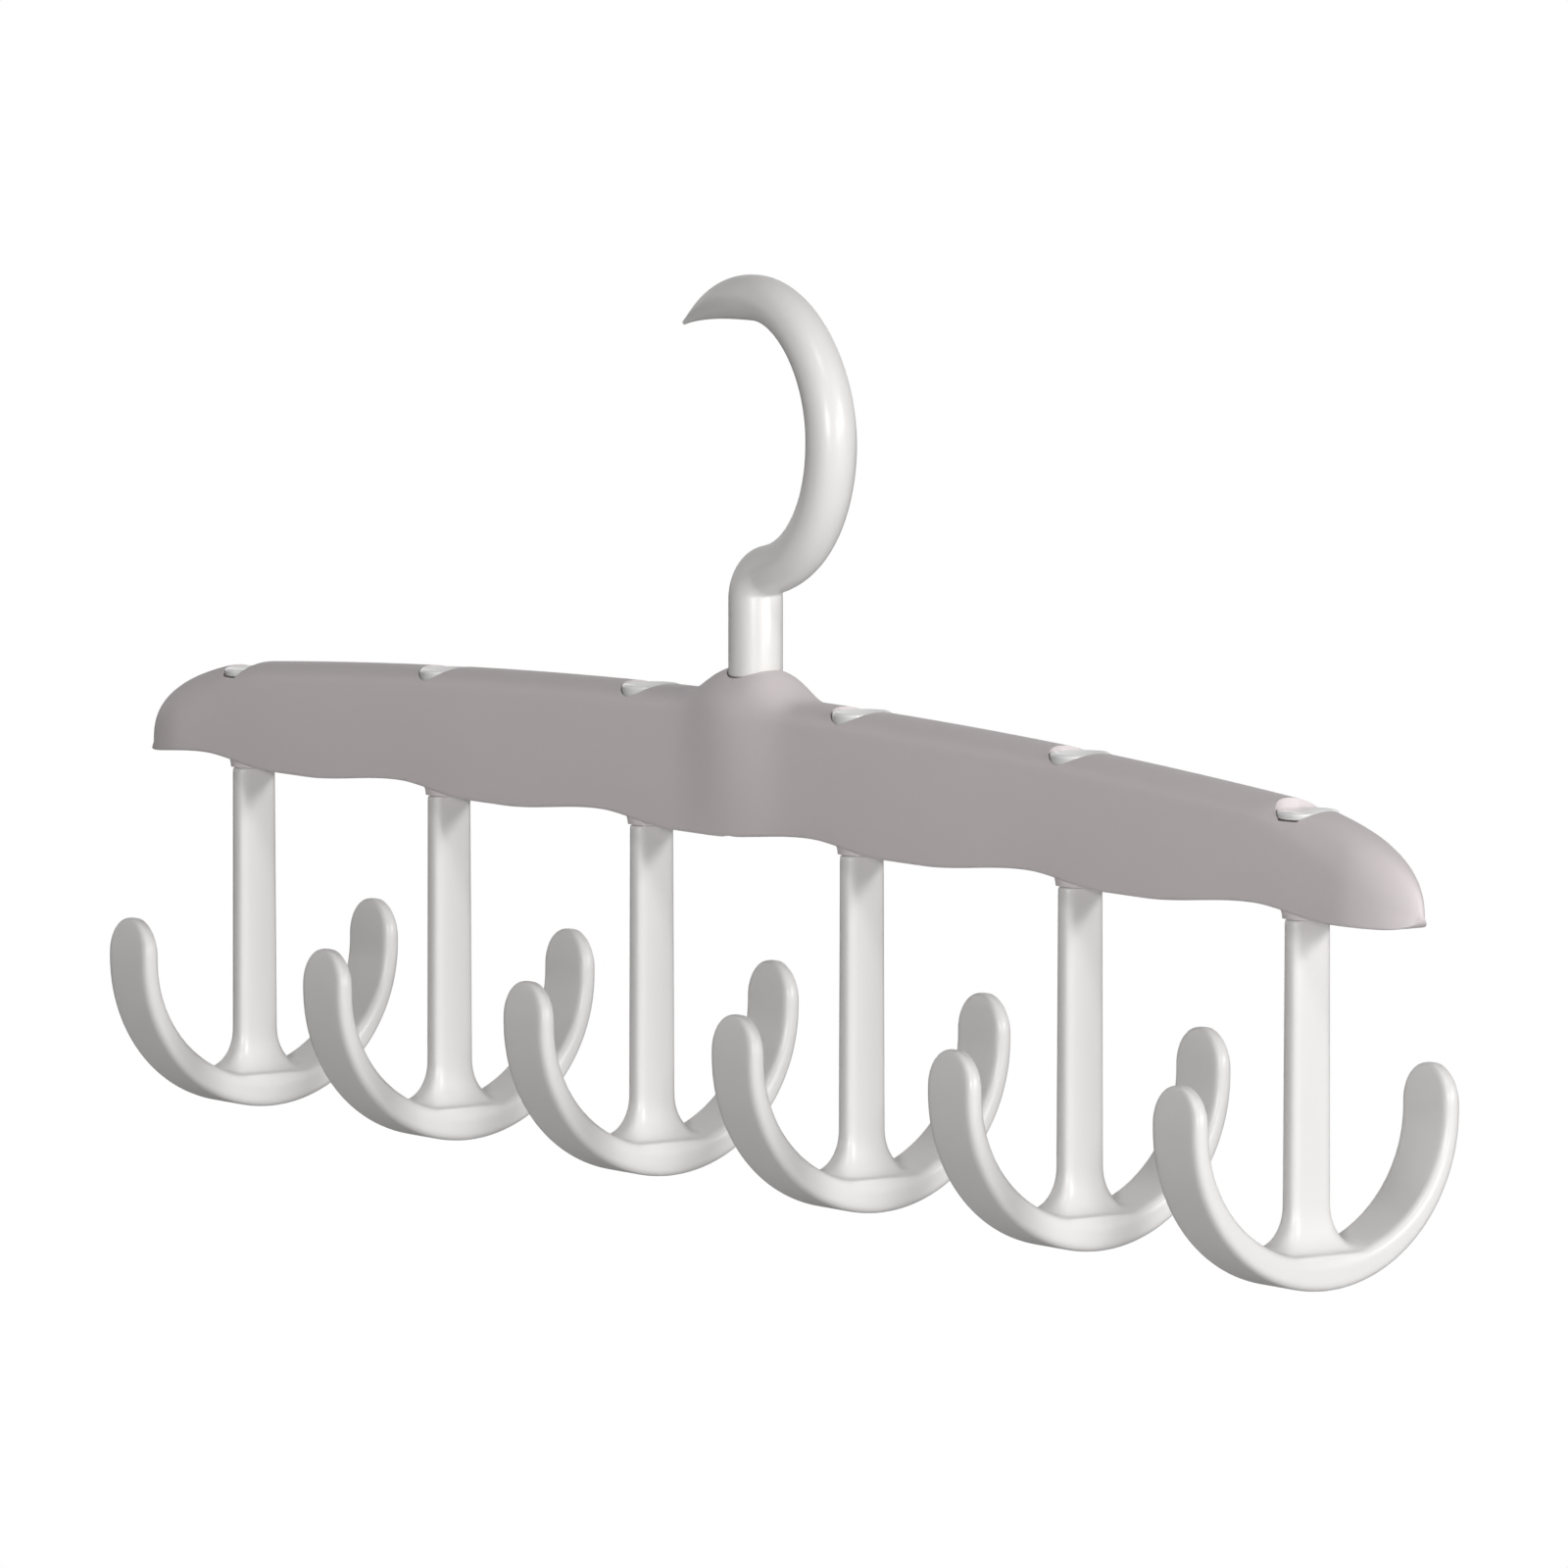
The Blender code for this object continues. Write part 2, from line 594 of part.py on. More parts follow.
def bend_rise(v):
    """How much higher the inner face of the band is at v across the hook than in its middle."""
    turn = asin(v / (ARM_RADIUS - ARM_BOTTOM_THICKNESS))
    inner = ARM_RADIUS - arm_thickness(turn)
    return ARM_RADIUS - ARM_BOTTOM_THICKNESS - sqrt(inner ** 2 - v ** 2)


def flare_ring(x, z, half_width, half_depth, share):
    """A ring of the flare that follows the bend; share is 1 on the band and 0 where the stem begins."""
    ring = stem_ring(x, z, half_width, half_depth)
    return [p + Vector((0, 0, bend_rise(p.y) * share)) for p in ring]


def stem_rings(x):
    """Flared foot, stem, shoulder, round pin and the spigot for its cap, from the bottom up."""
    inside = BEND_Z - ARM_RADIUS + ARM_BOTTOM_THICKNESS - FLARE_SINK
    foot = BEND_Z - ARM_RADIUS + ARM_BOTTOM_THICKNESS / 2
    width, depth = STEM_HALF_WIDTH + STEM_GROWTH, STEM_HALF_DEPTH + STEM_GROWTH / 2
    rings = [flare_ring(x, foot, width + FLARE_WIDTH, depth + FLARE_DEPTH, 1)]
    for i in range(FLARE_STEPS + 1):
        share = i / FLARE_STEPS
        spread = 1 - sqrt(1 - (1 - share) ** 2)
        rings.append(flare_ring(x, inside + FLARE_HEIGHT * share, width + FLARE_WIDTH * spread,
                                depth + FLARE_DEPTH * spread, 1 - share))
    rings.append(stem_ring(x, STEM_TOP_Z, STEM_HALF_WIDTH, STEM_HALF_DEPTH))
    count = len(rings[0])
    cap_z = cap_seat_z(x) + SEAT_GAP
    neck = cap_z - SEAT_GAP
    tip = cap_z + SPIGOT_LENGTH - SEAT_GAP
    return rings + turned(((PIN_RADIUS, STEM_TOP_Z), (PIN_RADIUS, neck), (SPIGOT_RADIUS, neck),
                           (SPIGOT_RADIUS, tip)), count, x)


def make_double_hook(number, x, finish):
    """Stem with its pin, joined to the band that forms both arms."""
    origin = (x, 0, STEM_TOP_Z)
    hook = add_object(f"double_hook_{number}", [arm_rings(x)], finish, origin)
    stem = add_object(f"stem_shape_{number}", [stem_rings(x)], None, origin)
    combine(hook, stem, "UNION")
    return hook


def make_cap(number, x, finish):
    """Low-domed button that is pushed on the spigot of a pin and lies in the seat of the beam."""
    low = cap_seat_z(x) + SEAT_GAP
    hole = SPIGOT_RADIUS + PUSH_GAP
    rim = low + CAP_RIM
    profile = [(hole, low + SPIGOT_LENGTH), (hole, low), (CAP_RADIUS - CAP_BEVEL, low),
               (CAP_RADIUS, low + CAP_BEVEL), (CAP_RADIUS, rim)]
    for share in CAP_DOME_SHARES:
        profile.append((CAP_RADIUS * share, rim + CAP_DOME * sqrt(1 - share ** 2)))
    return add_object(f"pin_cap_{number}", [turned(profile, CAP_SIDES, x)], finish, (x, 0, low))


def build():
    """Make every piece and hang each on the one that carries it."""
    remove_all()
    hook_finish = material("hook_plastic", MOULDED_WHITE, 0.34)
    beam_finish = material("beam_plastic", BEAM_WHITE, 0.40)
    cap_finish = material("cap_plastic", CAP_WHITE, 0.28)
    main_hook = make_main_hook(hook_finish)
    parent(make_washer(material("washer_nylon", NYLON, 0.45)), main_hook)
    parent(make_clip(material("clip_steel", SPRING_STEEL, 0.30, 1.0)), main_hook)
    beam = make_beam(beam_finish)
    parent(beam, main_hook)
    for number, x in enumerate(PIN_PLACES, start=1):
        hook = make_double_hook(number, x, hook_finish)
        parent(hook, beam)
        parent(make_cap(number, x, cap_finish), hook)


build()
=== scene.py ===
# %% [markdown]
# # A rail hanger with six turning double hooks
# The hanger rests on a wardrobe rail by a round hook. That hook's shank turns in a long moulded bar, and
# six double hooks turn on pins in the same bar, so that bags, belts and scarves can be reached from
# either side. The jointed model already says where each piece is and how it turns. This lesson gives
# every piece its smooth moulded form and its finish, and then sets camera and light.
#
# The model is loaded first. The dressed hanger must not grow past it.

# %% Load the jointed model
from math import asin, atan2, cos, pi, radians, sin, sqrt

import bmesh
import bpy
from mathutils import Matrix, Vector


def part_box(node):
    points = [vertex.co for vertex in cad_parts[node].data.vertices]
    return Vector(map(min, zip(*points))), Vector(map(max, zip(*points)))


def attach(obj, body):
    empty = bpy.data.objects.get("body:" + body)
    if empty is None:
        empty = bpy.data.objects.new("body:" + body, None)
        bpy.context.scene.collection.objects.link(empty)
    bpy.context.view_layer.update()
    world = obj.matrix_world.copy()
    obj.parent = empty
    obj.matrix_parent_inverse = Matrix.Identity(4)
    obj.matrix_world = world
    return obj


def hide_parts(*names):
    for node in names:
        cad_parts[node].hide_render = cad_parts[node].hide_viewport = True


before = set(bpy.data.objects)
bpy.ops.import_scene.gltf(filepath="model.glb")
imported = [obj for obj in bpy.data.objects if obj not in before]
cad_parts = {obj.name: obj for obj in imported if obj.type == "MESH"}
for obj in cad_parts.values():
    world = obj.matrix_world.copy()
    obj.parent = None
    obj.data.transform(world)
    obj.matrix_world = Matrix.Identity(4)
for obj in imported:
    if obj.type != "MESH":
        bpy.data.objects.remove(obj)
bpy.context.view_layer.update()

# %% [markdown]
# ## The camera
# A product photograph of something this long is taken from far away with a long lens, which keeps both
# ends of the bar nearly the same size. The picture shows the bar from the front and its right end, from
# a little above. A camera could be placed by trial. Here its turn, height and distance come from the
# places of the twelve arm tips in the picture, so that the render can be laid over it.

# %% Place the camera
LOOK_AT = Vector((0.008864, 0.0, -0.086054))
CAMERA_TURN = radians(53.335)
CAMERA_RISE = radians(5.94)
CAMERA_DISTANCE = 2.77558
LENS_SHARE = 15191 / 1600   # focal length in widths of the picture
SENSOR_WIDTH = 36.0
FAR_CLIP = 100.0


def station(turn, rise, distance):
    """A place round the hanger: turn 0 is in front of the bar and 90 degrees is off its right end."""
    level = cos(rise)
    return LOOK_AT + distance * Vector((sin(turn) * level, -cos(turn) * level, sin(rise)))


def face_hanger(thing):
    """Turn a camera or a lamp so that it looks at the hanger."""
    thing.rotation_euler = (LOOK_AT - thing.location).to_track_quat("-Z", "Y").to_euler()


camera = bpy.data.objects.new("camera", bpy.data.cameras.new("camera"))
bpy.context.scene.collection.objects.link(camera)
camera.location = station(CAMERA_TURN, CAMERA_RISE, CAMERA_DISTANCE)
face_hanger(camera)
camera.data.sensor_width = SENSOR_WIDTH
camera.data.lens = LENS_SHARE * SENSOR_WIDTH
camera.data.clip_end = FAR_CLIP
bpy.context.scene.camera = camera
bpy.context.scene.view_settings.view_transform = "Standard"
print("the camera looks from", tuple(round(c, 3) for c in camera.location))

# %% [markdown]
# ## Working by selection
# Every piece starts as a primitive and is shaped in edit mode, as it would be by hand: something is
# selected, and then it is extruded, moved, turned or resized. By hand the mouse selects. In code the
# place of a vertex does, so a few short helpers open a piece for editing, select by place, and close it.

# %% Open and close a piece
def lay_down_tools():
    """Leave edit mode with nothing selected."""
    if bpy.context.mode != "OBJECT":
        bpy.ops.object.mode_set(mode="OBJECT")
    bpy.ops.object.select_all(action="DESELECT")


def open_piece(name):
    """Name the primitive that was just added, bring its place into its mesh and edit it."""
    piece = bpy.context.object
    piece.name = name
    piece.data.name = name
    bpy.ops.object.transform_apply(location=True, rotation=True, scale=True)
    bpy.ops.object.mode_set(mode="EDIT")
    bpy.ops.mesh.select_mode(type="VERT")
    bpy.ops.mesh.select_all(action="SELECT")
    return piece


def close_piece(piece):
    """Turn all faces outwards and leave edit mode."""
    bpy.ops.mesh.select_mode(type="VERT")
    bpy.ops.mesh.select_all(action="SELECT")
    bpy.ops.mesh.normals_make_consistent(inside=False)
    bpy.ops.object.mode_set(mode="OBJECT")
    print(piece.name, "has", len(piece.data.polygons), "faces")
    return piece


lay_down_tools()
print("pieces that are still selected:", len(bpy.context.selected_objects))

# %% [markdown]
# Selecting by place reads the mesh that is being edited, marks vertices or edges in it, and lets Blender
# work out what else is selected with them.

# %% Select by place
TINY = 0.00001              # two places nearer than this count as the same


def places(piece):
    """Places of all the vertices of the piece that is edited, in their order."""
    return [vert.co.copy() for vert in bmesh.from_edit_mesh(piece.data).verts]


def pick(piece, numbers):
    """Select just the vertices with these numbers."""
    bpy.ops.mesh.select_mode(type="VERT")
    bpy.ops.mesh.select_all(action="DESELECT")
    mesh = bmesh.from_edit_mesh(piece.data)
    mesh.verts.ensure_lookup_table()
    for number in numbers:
        mesh.verts[number].select = True
    mesh.select_flush_mode()
    bmesh.update_edit_mesh(piece.data, loop_triangles=False, destructive=False)


def pick_where(piece, test):
    """Select the vertices whose place passes a test."""
    pick(piece, [number for number, place in enumerate(places(piece)) if test(place)])


def pick_edges(piece, test):
    """Select the edges whose two ends pass a test."""
    bpy.ops.mesh.select_all(action="DESELECT")
    bpy.ops.mesh.select_mode(type="EDGE")
    mesh = bmesh.from_edit_mesh(piece.data)
    for edge in mesh.edges:
        edge.select = test(edge.verts[0].co, edge.verts[1].co)
    mesh.select_flush_mode()
    bmesh.update_edit_mesh(piece.data, loop_triangles=False, destructive=False)


print("places nearer than", TINY, "count as the same")

# %% [markdown]
# ## Moving, turning and resizing
# Operators that turn and resize need a centre, and without a window they ignore the pivot setting, so
# each helper here is told its centre. Turning also goes the other way without a window, which is why
# the angle gets a minus sign.

# %% Shape what is selected
def shift(step):
    """Move what is selected."""
    bpy.ops.transform.translate(value=step, orient_type="GLOBAL")


def swing(angle, axis, centre):
    """Turn what is selected about an axis through a centre."""
    bpy.ops.transform.rotate(value=-angle, orient_axis=axis, orient_type="GLOBAL", center_override=centre)


def resize(growth, centre):
    """Resize what is selected by a factor for each axis."""
    bpy.ops.transform.resize(value=growth, orient_type="GLOBAL", center_override=centre)


def extrude(step):
    """Extrude the selected end and move it."""
    bpy.ops.mesh.extrude_region_move(TRANSFORM_OT_translate={"value": step, "orient_type": "GLOBAL"})


def stretch_up(rings, x=0.0):
    """Extrude a level end upwards through (half of X, half of Y, height) rings, resizing it at each."""
    for (wide, deep, low), (next_wide, next_deep, high) in zip(rings, rings[1:]):
        extrude((0, 0, high - low))
        resize((next_wide / wide, next_deep / deep, 1), (x, 0, high))


print("what is selected can be moved, turned, resized and extruded")

# %% [markdown]
# ## The rod of the main hook
# The real main hook is one moulded rod. It starts at a point that finds its way over a rail, swells over
# an open bow, turns down through a tight elbow, and ends as a spindle inside the bar. A curve with a
# round bevel could draw it, but the elbow would pinch. So a circle is extruded along the centre-line
# instead, and turned and resized after each short step, which gives full control of the thickness.
#
# The centre-line is worked out first: a parabola for the pointed end, an upright ellipse for the bow,
# and an arc for the elbow. Each station is a place, the way the rod is heading there, and its radius.

# %% The bow
BOW_REACH = 0.0235          # from the axis of the shank out to the centre-line of the bow
BOW_RISE = 0.0259           # from the middle of the bow up to its centre-line
BOW_TOP_RADIUS = 0.0043
BOW_TOP_ANGLE = radians(90)
BOW_MIDDLE_Z = BOW_TOP_RADIUS - BOW_RISE
SHOULDER_FLATTEN = 0.012    # how much the bow is drawn in between its top and its side
LOWER_FLATTEN = 0.030       # how much it is drawn in where it runs down to the elbow
SMALL_TURN = radians(0.05)


def bow_place(angle):
    """Centre-line of the bow: an upright ellipse, drawn in a little above and below its side."""
    if angle > 0:
        size = 1 - SHOULDER_FLATTEN * sin(2 * angle) ** 2
    else:
        size = 1 - LOWER_FLATTEN * sin(angle) ** 4
    return Vector((BOW_REACH * size * cos(angle), 0, BOW_MIDDLE_Z + BOW_RISE * size * sin(angle)))


def bow_way(angle):
    """Direction of the rod there, on its way down to the shank."""
    return (bow_place(angle - SMALL_TURN) - bow_place(angle + SMALL_TURN)).normalized()


print("the middle of the bow lies at a height of", round(BOW_MIDDLE_Z, 4))

# %% [markdown]
# The elbow is an arc, nearly as tight as the thickness of the rod allows. It has to leave the bow at the
# one angle from which it ends straight above the shank. That angle is found by halving a range.

# %% The elbow
SHANK_RADIUS = 0.0051
SHANK_LENGTH = 0.0148
ELBOW_CREASE = 0.0004       # radius that is left in the inner corner of the elbow
ELBOW_BEND = SHANK_RADIUS + ELBOW_CREASE
ELBOW_HALVINGS = 50


def find_elbow():
    """Angle on the bow where the elbow starts, and how far the rod turns in it."""
    low, high = -pi / 2, -pi / 4
    for _ in range(ELBOW_HALVINGS):
        angle = (low + high) / 2
        way = bow_way(angle)
        turn = atan2(-way.x, -way.z)
        if bow_place(angle).x > ELBOW_BEND * (1 - cos(turn)):
            high = angle
        else:
            low = angle
    return angle, turn


ELBOW_ANGLE, ELBOW_TURN = find_elbow()
ELBOW_END_Z = bow_place(ELBOW_ANGLE).z - ELBOW_BEND * sin(ELBOW_TURN)
SHOULDER_Z = ELBOW_END_Z - SHANK_LENGTH
print("the elbow ends at a height of", round(ELBOW_END_Z, 4), "and the shank at", round(SHOULDER_Z, 4))

# %% [markdown]
# The stations of the pointed end follow the parabola backwards, from the point to the top of the bow. They
# lie closer together near the point, where the rod thickens fastest.

# %% Stations of the pointed end
TIP_REACH = 0.0225
TIP_DROP = 0.0060
TIP_POINT_RADIUS = 0.0004
TIP_CURVE_SHARE = 0.50      # how far out the parabola stays level
TIP_TAPER_POWER = 1.2
TIP_STEP_POWER = 1.4
TIP_STEPS = 22


def tip_stations():
    """From the point to the top of the bow."""
    top = bow_place(BOW_TOP_ANGLE)
    point = top + Vector((-TIP_REACH, 0, -TIP_DROP))
    control = top + Vector((-TIP_REACH * TIP_CURVE_SHARE, 0, 0))
    stations = []
    for step in range(TIP_STEPS):
        t = 1 - (step / TIP_STEPS) ** TIP_STEP_POWER
        place = top * (1 - t) ** 2 + control * (2 * t * (1 - t)) + point * t ** 2
        way = (top - control) * (1 - t) + (control - point) * t
        swell = (1 - t * t) ** TIP_TAPER_POWER
        radius = TIP_POINT_RADIUS + (BOW_TOP_RADIUS - TIP_POINT_RADIUS) * swell
        stations.append((place, way.normalized(), radius))
    return stations


rod_stations = tip_stations()
print("stations of the pointed end:", len(rod_stations))

# %% [markdown]
# The bow is a little thicker at its side than at its top and its end, and the elbow widens into the shank.

# %% Stations of the bow and the elbow
BOW_SIDE_RADIUS = 0.0048
BOW_END_RADIUS = 0.0047
BOW_STEPS = 44
ELBOW_STEPS = 14


def bow_stations():
    """From the top of the bow, over its side, to the elbow."""
    stations = []
    for step in range(BOW_STEPS + 1):
        angle = BOW_TOP_ANGLE + (ELBOW_ANGLE - BOW_TOP_ANGLE) * step / BOW_STEPS
        end = BOW_TOP_RADIUS if angle > 0 else BOW_END_RADIUS
        share = angle / BOW_TOP_ANGLE if angle > 0 else angle / ELBOW_ANGLE
        radius = BOW_SIDE_RADIUS + (end - BOW_SIDE_RADIUS) * share
        stations.append((bow_place(angle), bow_way(angle), radius))
    return stations


def elbow_stations():
    """The tight bend into the shank."""
    stations = []
    for step in range(1, ELBOW_STEPS + 1):
        share = step / ELBOW_STEPS
        turn = ELBOW_TURN * (1 - share)
        place = Vector((ELBOW_BEND * (1 - cos(turn)), 0, ELBOW_END_Z + ELBOW_BEND * sin(turn)))
        radius = BOW_END_RADIUS + (SHANK_RADIUS - BOW_END_RADIUS) * share
        stations.append((place, Vector((-sin(turn), 0, -cos(turn))), radius))
    return stations


rod_stations += bow_stations() + elbow_stations()
print("with the bow and the elbow:", len(rod_stations))

# %% [markdown]
# The spindle below the shank is turned rather than bent: a shoulder that rests on the washer, a thinner
# shaft, a groove for the spring clip and a chamfered tail. Its stations only change radius and height.

# %% Stations down the spindle
SPINDLE_RADIUS = 0.0032
SPINDLE_TAIL = 0.0016
EDGE_BREAK = 0.0003         # small chamfer that a mould leaves on an outer edge
GROOVE_DEPTH = 0.0007
CLIP_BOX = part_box("retaining_clip")
SIDE_GAP = 0.00015          # play above and below the clip


def spindle_stations():
    """Shoulder, shaft, groove and tail."""
    groove = SPINDLE_RADIUS - GROOVE_DEPTH
    groove_top = CLIP_BOX[1][2] + SIDE_GAP
    groove_low = CLIP_BOX[0][2] - SIDE_GAP
    tail = groove_low - SPINDLE_TAIL
    profile = (
        (SHANK_RADIUS, SHOULDER_Z + EDGE_BREAK),
        (SHANK_RADIUS - EDGE_BREAK, SHOULDER_Z),
        (SPINDLE_RADIUS, SHOULDER_Z),
        (SPINDLE_RADIUS, groove_top),
        (groove, groove_top),
        (groove, groove_low),
        (SPINDLE_RADIUS, groove_low),
        (SPINDLE_RADIUS, tail + GROOVE_DEPTH),
        (groove, tail),
    )
    return [(Vector((0, 0, z)), Vector((0, 0, -1)), radius) for radius, z in profile]


rod_stations += spindle_stations()
print("with the spindle:", len(rod_stations))

# %% [markdown]
# Now the rod itself. A filled circle is added at the point, facing along the rod, and its face is pushed
# from station to station. Each push is three operators: extrude, turn about Y, resize.

# %% Push a circle along the rod
ROD_SIDES = 48


def heading_angle(way):
    """Turn about Y that brings +Z to a direction in the plane of the bow."""
    return atan2(way.x, way.z)


def push_along(stations):
    """Extrude the selected round end from one station to the next."""
    for (place, way, radius), (next_place, next_way, next_radius) in zip(stations, stations[1:]):
        extrude(next_place - place)
        turn = heading_angle(next_way) - heading_angle(way)
        turn = (turn + pi) % (2 * pi) - pi
        if abs(turn) > TINY:
            swing(turn, "Y", next_place)
        if abs(next_radius - radius) > TINY * TINY:
            growth = next_radius / radius
            resize((growth, growth, growth), next_place)


first_place, first_way, first_radius = rod_stations[0]
lay_down_tools()
bpy.ops.mesh.primitive_circle_add(
    vertices=ROD_SIDES, radius=first_radius, fill_type="NGON",
    location=first_place, rotation=(0, heading_angle(first_way), 0),
)
hook_rod = open_piece("hook_rod")
push_along(rod_stations)
close_piece(hook_rod)
print("the rod reaches down to", round(min(v.co.z for v in hook_rod.data.vertices), 4))

# %% [markdown]
# ## The bar
# The bar is one moulding, open below: two thin walls and an arched roof with a rounded crown. It swells
# to a hump where the main hook turns in it, and falls in a curve to each end. Its lower edge climbs and
# falls in slow waves between the hooks. A curve could give one section, but here the section changes all
# the way, so the bar starts as a plain block, is cut in many slices, and each slice is pushed to the
# height, thickness and roundness that the bar has there.

# %% Main sizes of the bar
BAR_LENGTH = 0.398
BAR_HEIGHT = 0.0267
BAR_HALF = 0.0066           # half the thickness at the lower edge
RIDGE_Z = -0.069897
LOWER_EDGE_Z = RIDGE_Z - BAR_HEIGHT
HALF_LENGTH = BAR_LENGTH / 2
HOOK_PITCH = 0.066
HOOK_COUNT = 6
PIN_PLACES = [(number - (HOOK_COUNT - 1) / 2) * HOOK_PITCH for number in range(HOOK_COUNT)]
OUTER_PIN = PIN_PLACES[-1]
print("the pins stand at", [round(x, 3) for x in PIN_PLACES])

# %% [markdown]
# Each curve of the bar is a function of the place x along it. A share runs from 0 to 1 over the part of
# the bar that a feature takes up. Then a cosine, which is level at both ends, or a quarter of an ellipse,
# which starts level and ends steep, gives the feature its shape.

# %% Shares and curves
def end_share(x, length):
    """0 along the bar, climbing to 1 over this length at each of its ends."""
    return min(1.0, max(0.0, (abs(x) - HALF_LENGTH + length) / length))


def cosine_fall(way):
    """1 at the start of a way and 0 at its end, level at both."""
    return 0.5 * (1 + cos(pi * min(1.0, max(0.0, way))))


def quarter_ellipse(share, power=2):
    """0 at the start and 1 at the end, level at the start. A higher power stays level for longer."""
    return 1 - sqrt(1 - share ** power)


for share in (0, 0.5, 1):
    print("at", share, "a cosine is at", cosine_fall(share), "and an ellipse at", quarter_ellipse(share))

# %% [markdown]
# The top line is an arch with a hump in its middle, and it falls at both noses.

# %% Top line
ARCH_SAG = 0.0065
NOSE_LENGTH = 0.040
NOSE_TOE = 0.0032           # height that is left at the very end
NOSE_POWER = 2.2
HUMP_RISE = 0.0050
HUMP_REACH = 0.0180
HUMP_FLAT = 0.0040          # half the length of its level top


def hump_share(x):
    """1 on the level top of the hump and 0 outside it."""
    return cosine_fall((abs(x) - HUMP_FLAT) / (HUMP_REACH - HUMP_FLAT))


def arch(x):
    """Top line without hump and noses."""
    return RIDGE_Z - ARCH_SAG * (x / OUTER_PIN) ** 2


def top_line(x):
    """Top of the bar."""
    fall = quarter_ellipse(end_share(x, NOSE_LENGTH), NOSE_POWER)
    return arch(x) + HUMP_RISE * hump_share(x) - (arch(x) - LOWER_EDGE_Z - NOSE_TOE) * fall


print("the top of the hump is at a height of", round(top_line(0), 4))

# %% [markdown]
# The lower edge climbs slowly before each hook, falls again past it, and is rounded up at both ends.

# %% Lower edge
WAVE_DEPTH = 0.0020
WAVE_SHARES = (0.40, 0.87, 1.22)   # start, peak and end of each climb, in hook pitches after a pin
LEFT_TOE_LIFT = 0.0008      # how far the edge is rounded up at each end
RIGHT_TOE_LIFT = 0.0020
TOE_POWER = 14


def lower_line(x):
    """Lower edge of the walls."""
    start, peak, end = WAVE_SHARES
    share = ((x - PIN_PLACES[0]) / HOOK_PITCH) % 1.0
    if share < end - 1:
        share += 1
    if share < start:
        climb = 0.0
    elif share < peak:
        climb = (share - start) / (peak - start)
    else:
        climb = (end - share) / (end - peak)
    lift = LEFT_TOE_LIFT if x < 0 else RIGHT_TOE_LIFT
    toe = lift * quarter_ellipse(end_share(x, NOSE_LENGTH), TOE_POWER)
    return LOWER_EDGE_Z + WAVE_DEPTH * climb * climb * (3 - 2 * climb) + toe


print("the bar is", round(top_line(0) - lower_line(0), 4), "high in the middle")

# %% [markdown]
# The walls lean in a little towards the crown. They swell out round the hump, where the socket of the main
# hook needs room, and draw together at the noses, whose crown takes up most of their height.

# %% Thickness and crown
BAR_LEAN = 0.0004           # how much each wall leans in
MOST_LEAN = 1 / 3           # and the largest share of its half that it may lean in
CROWN_HEIGHT = 0.0042
HUMP_SWELL = 0.0024
NOSE_END_HALF = 0.0006      # half the thickness that is left at the very end
NOSE_THIN_LENGTH = 0.017
NOSE_THIN_POWERS = (1.6, 0.75)
NOSE_CROWN_SHARE = 0.80


def half_thickness(x):
    """Half the thickness of the bar at its lower edge."""
    first, second = NOSE_THIN_POWERS
    thin = (1 - end_share(x, NOSE_THIN_LENGTH) ** first) ** second
    return NOSE_END_HALF + (BAR_HALF - NOSE_END_HALF) * thin


def shoulder_half(x):
    """Half the thickness where the round crown starts."""
    half = half_thickness(x)
    lean = min(BAR_LEAN, half * MOST_LEAN)
    return half - lean + HUMP_SWELL * cosine_fall(abs(x) / HUMP_REACH)


def crown_height(x):
    """Height of the rounded part of the section."""
    crown = CROWN_HEIGHT + HUMP_RISE * hump_share(x)
    height = top_line(x) - lower_line(x)
    return crown + (NOSE_CROWN_SHARE * height - crown) * end_share(x, NOSE_LENGTH)


print("the bar is", round(2 * shoulder_half(0), 4), "thick in the middle")

# %% [markdown]
# The block gets its round crown while it is still plain, because a bevel is easy there: the two long top
# edges are bevelled until they all but meet. The two lower edges get a small one. Then the long edges are
# subdivided twice, which cuts the block into 250 slices, and a few more cuts go into the last
# millimetres of each end, where the form changes fastest.

# %% Round and slice the block
EDGE_GAP = 0.0001           # flat strip that the two large bevels leave between them
CROWN_SEGMENTS = 11
CROWN_PROFILE = 0.53        # 0.5 is a true round
FOOT_RADIUS = 0.0007
FOOT_SEGMENTS = 3
FIRST_CUTS = 9
SECOND_CUTS = 24
EXTRA_CUTS = (0.1986, 0.1982, 0.1977, 0.1969)   # places of the extra cuts, on both sides


def is_long(a, b):
    """True for an edge that runs along the bar."""
    return abs(a.y - b.y) < TINY and abs(a.z - b.z) < TINY and abs(a.x - b.x) > TINY


lay_down_tools()
bpy.ops.mesh.primitive_cube_add(
    size=1, location=(0, 0, RIDGE_Z - BAR_HEIGHT / 2), scale=(BAR_LENGTH, 2 * BAR_HALF, BAR_HEIGHT),
)
bar = open_piece("bar_moulding")
pick_edges(bar, lambda a, b: is_long(a, b) and a.z > RIDGE_Z - TINY)
bpy.ops.mesh.bevel(offset=BAR_HALF - EDGE_GAP, segments=CROWN_SEGMENTS, profile=CROWN_PROFILE,
                   affect="EDGES", clamp_overlap=False)
pick_edges(bar, lambda a, b: is_long(a, b) and a.z < LOWER_EDGE_Z + TINY)
bpy.ops.mesh.bevel(offset=FOOT_RADIUS, segments=FOOT_SEGMENTS, affect="EDGES")
for cuts in (FIRST_CUTS, SECOND_CUTS):
    pick_edges(bar, is_long)
    bpy.ops.mesh.subdivide(number_cuts=cuts)
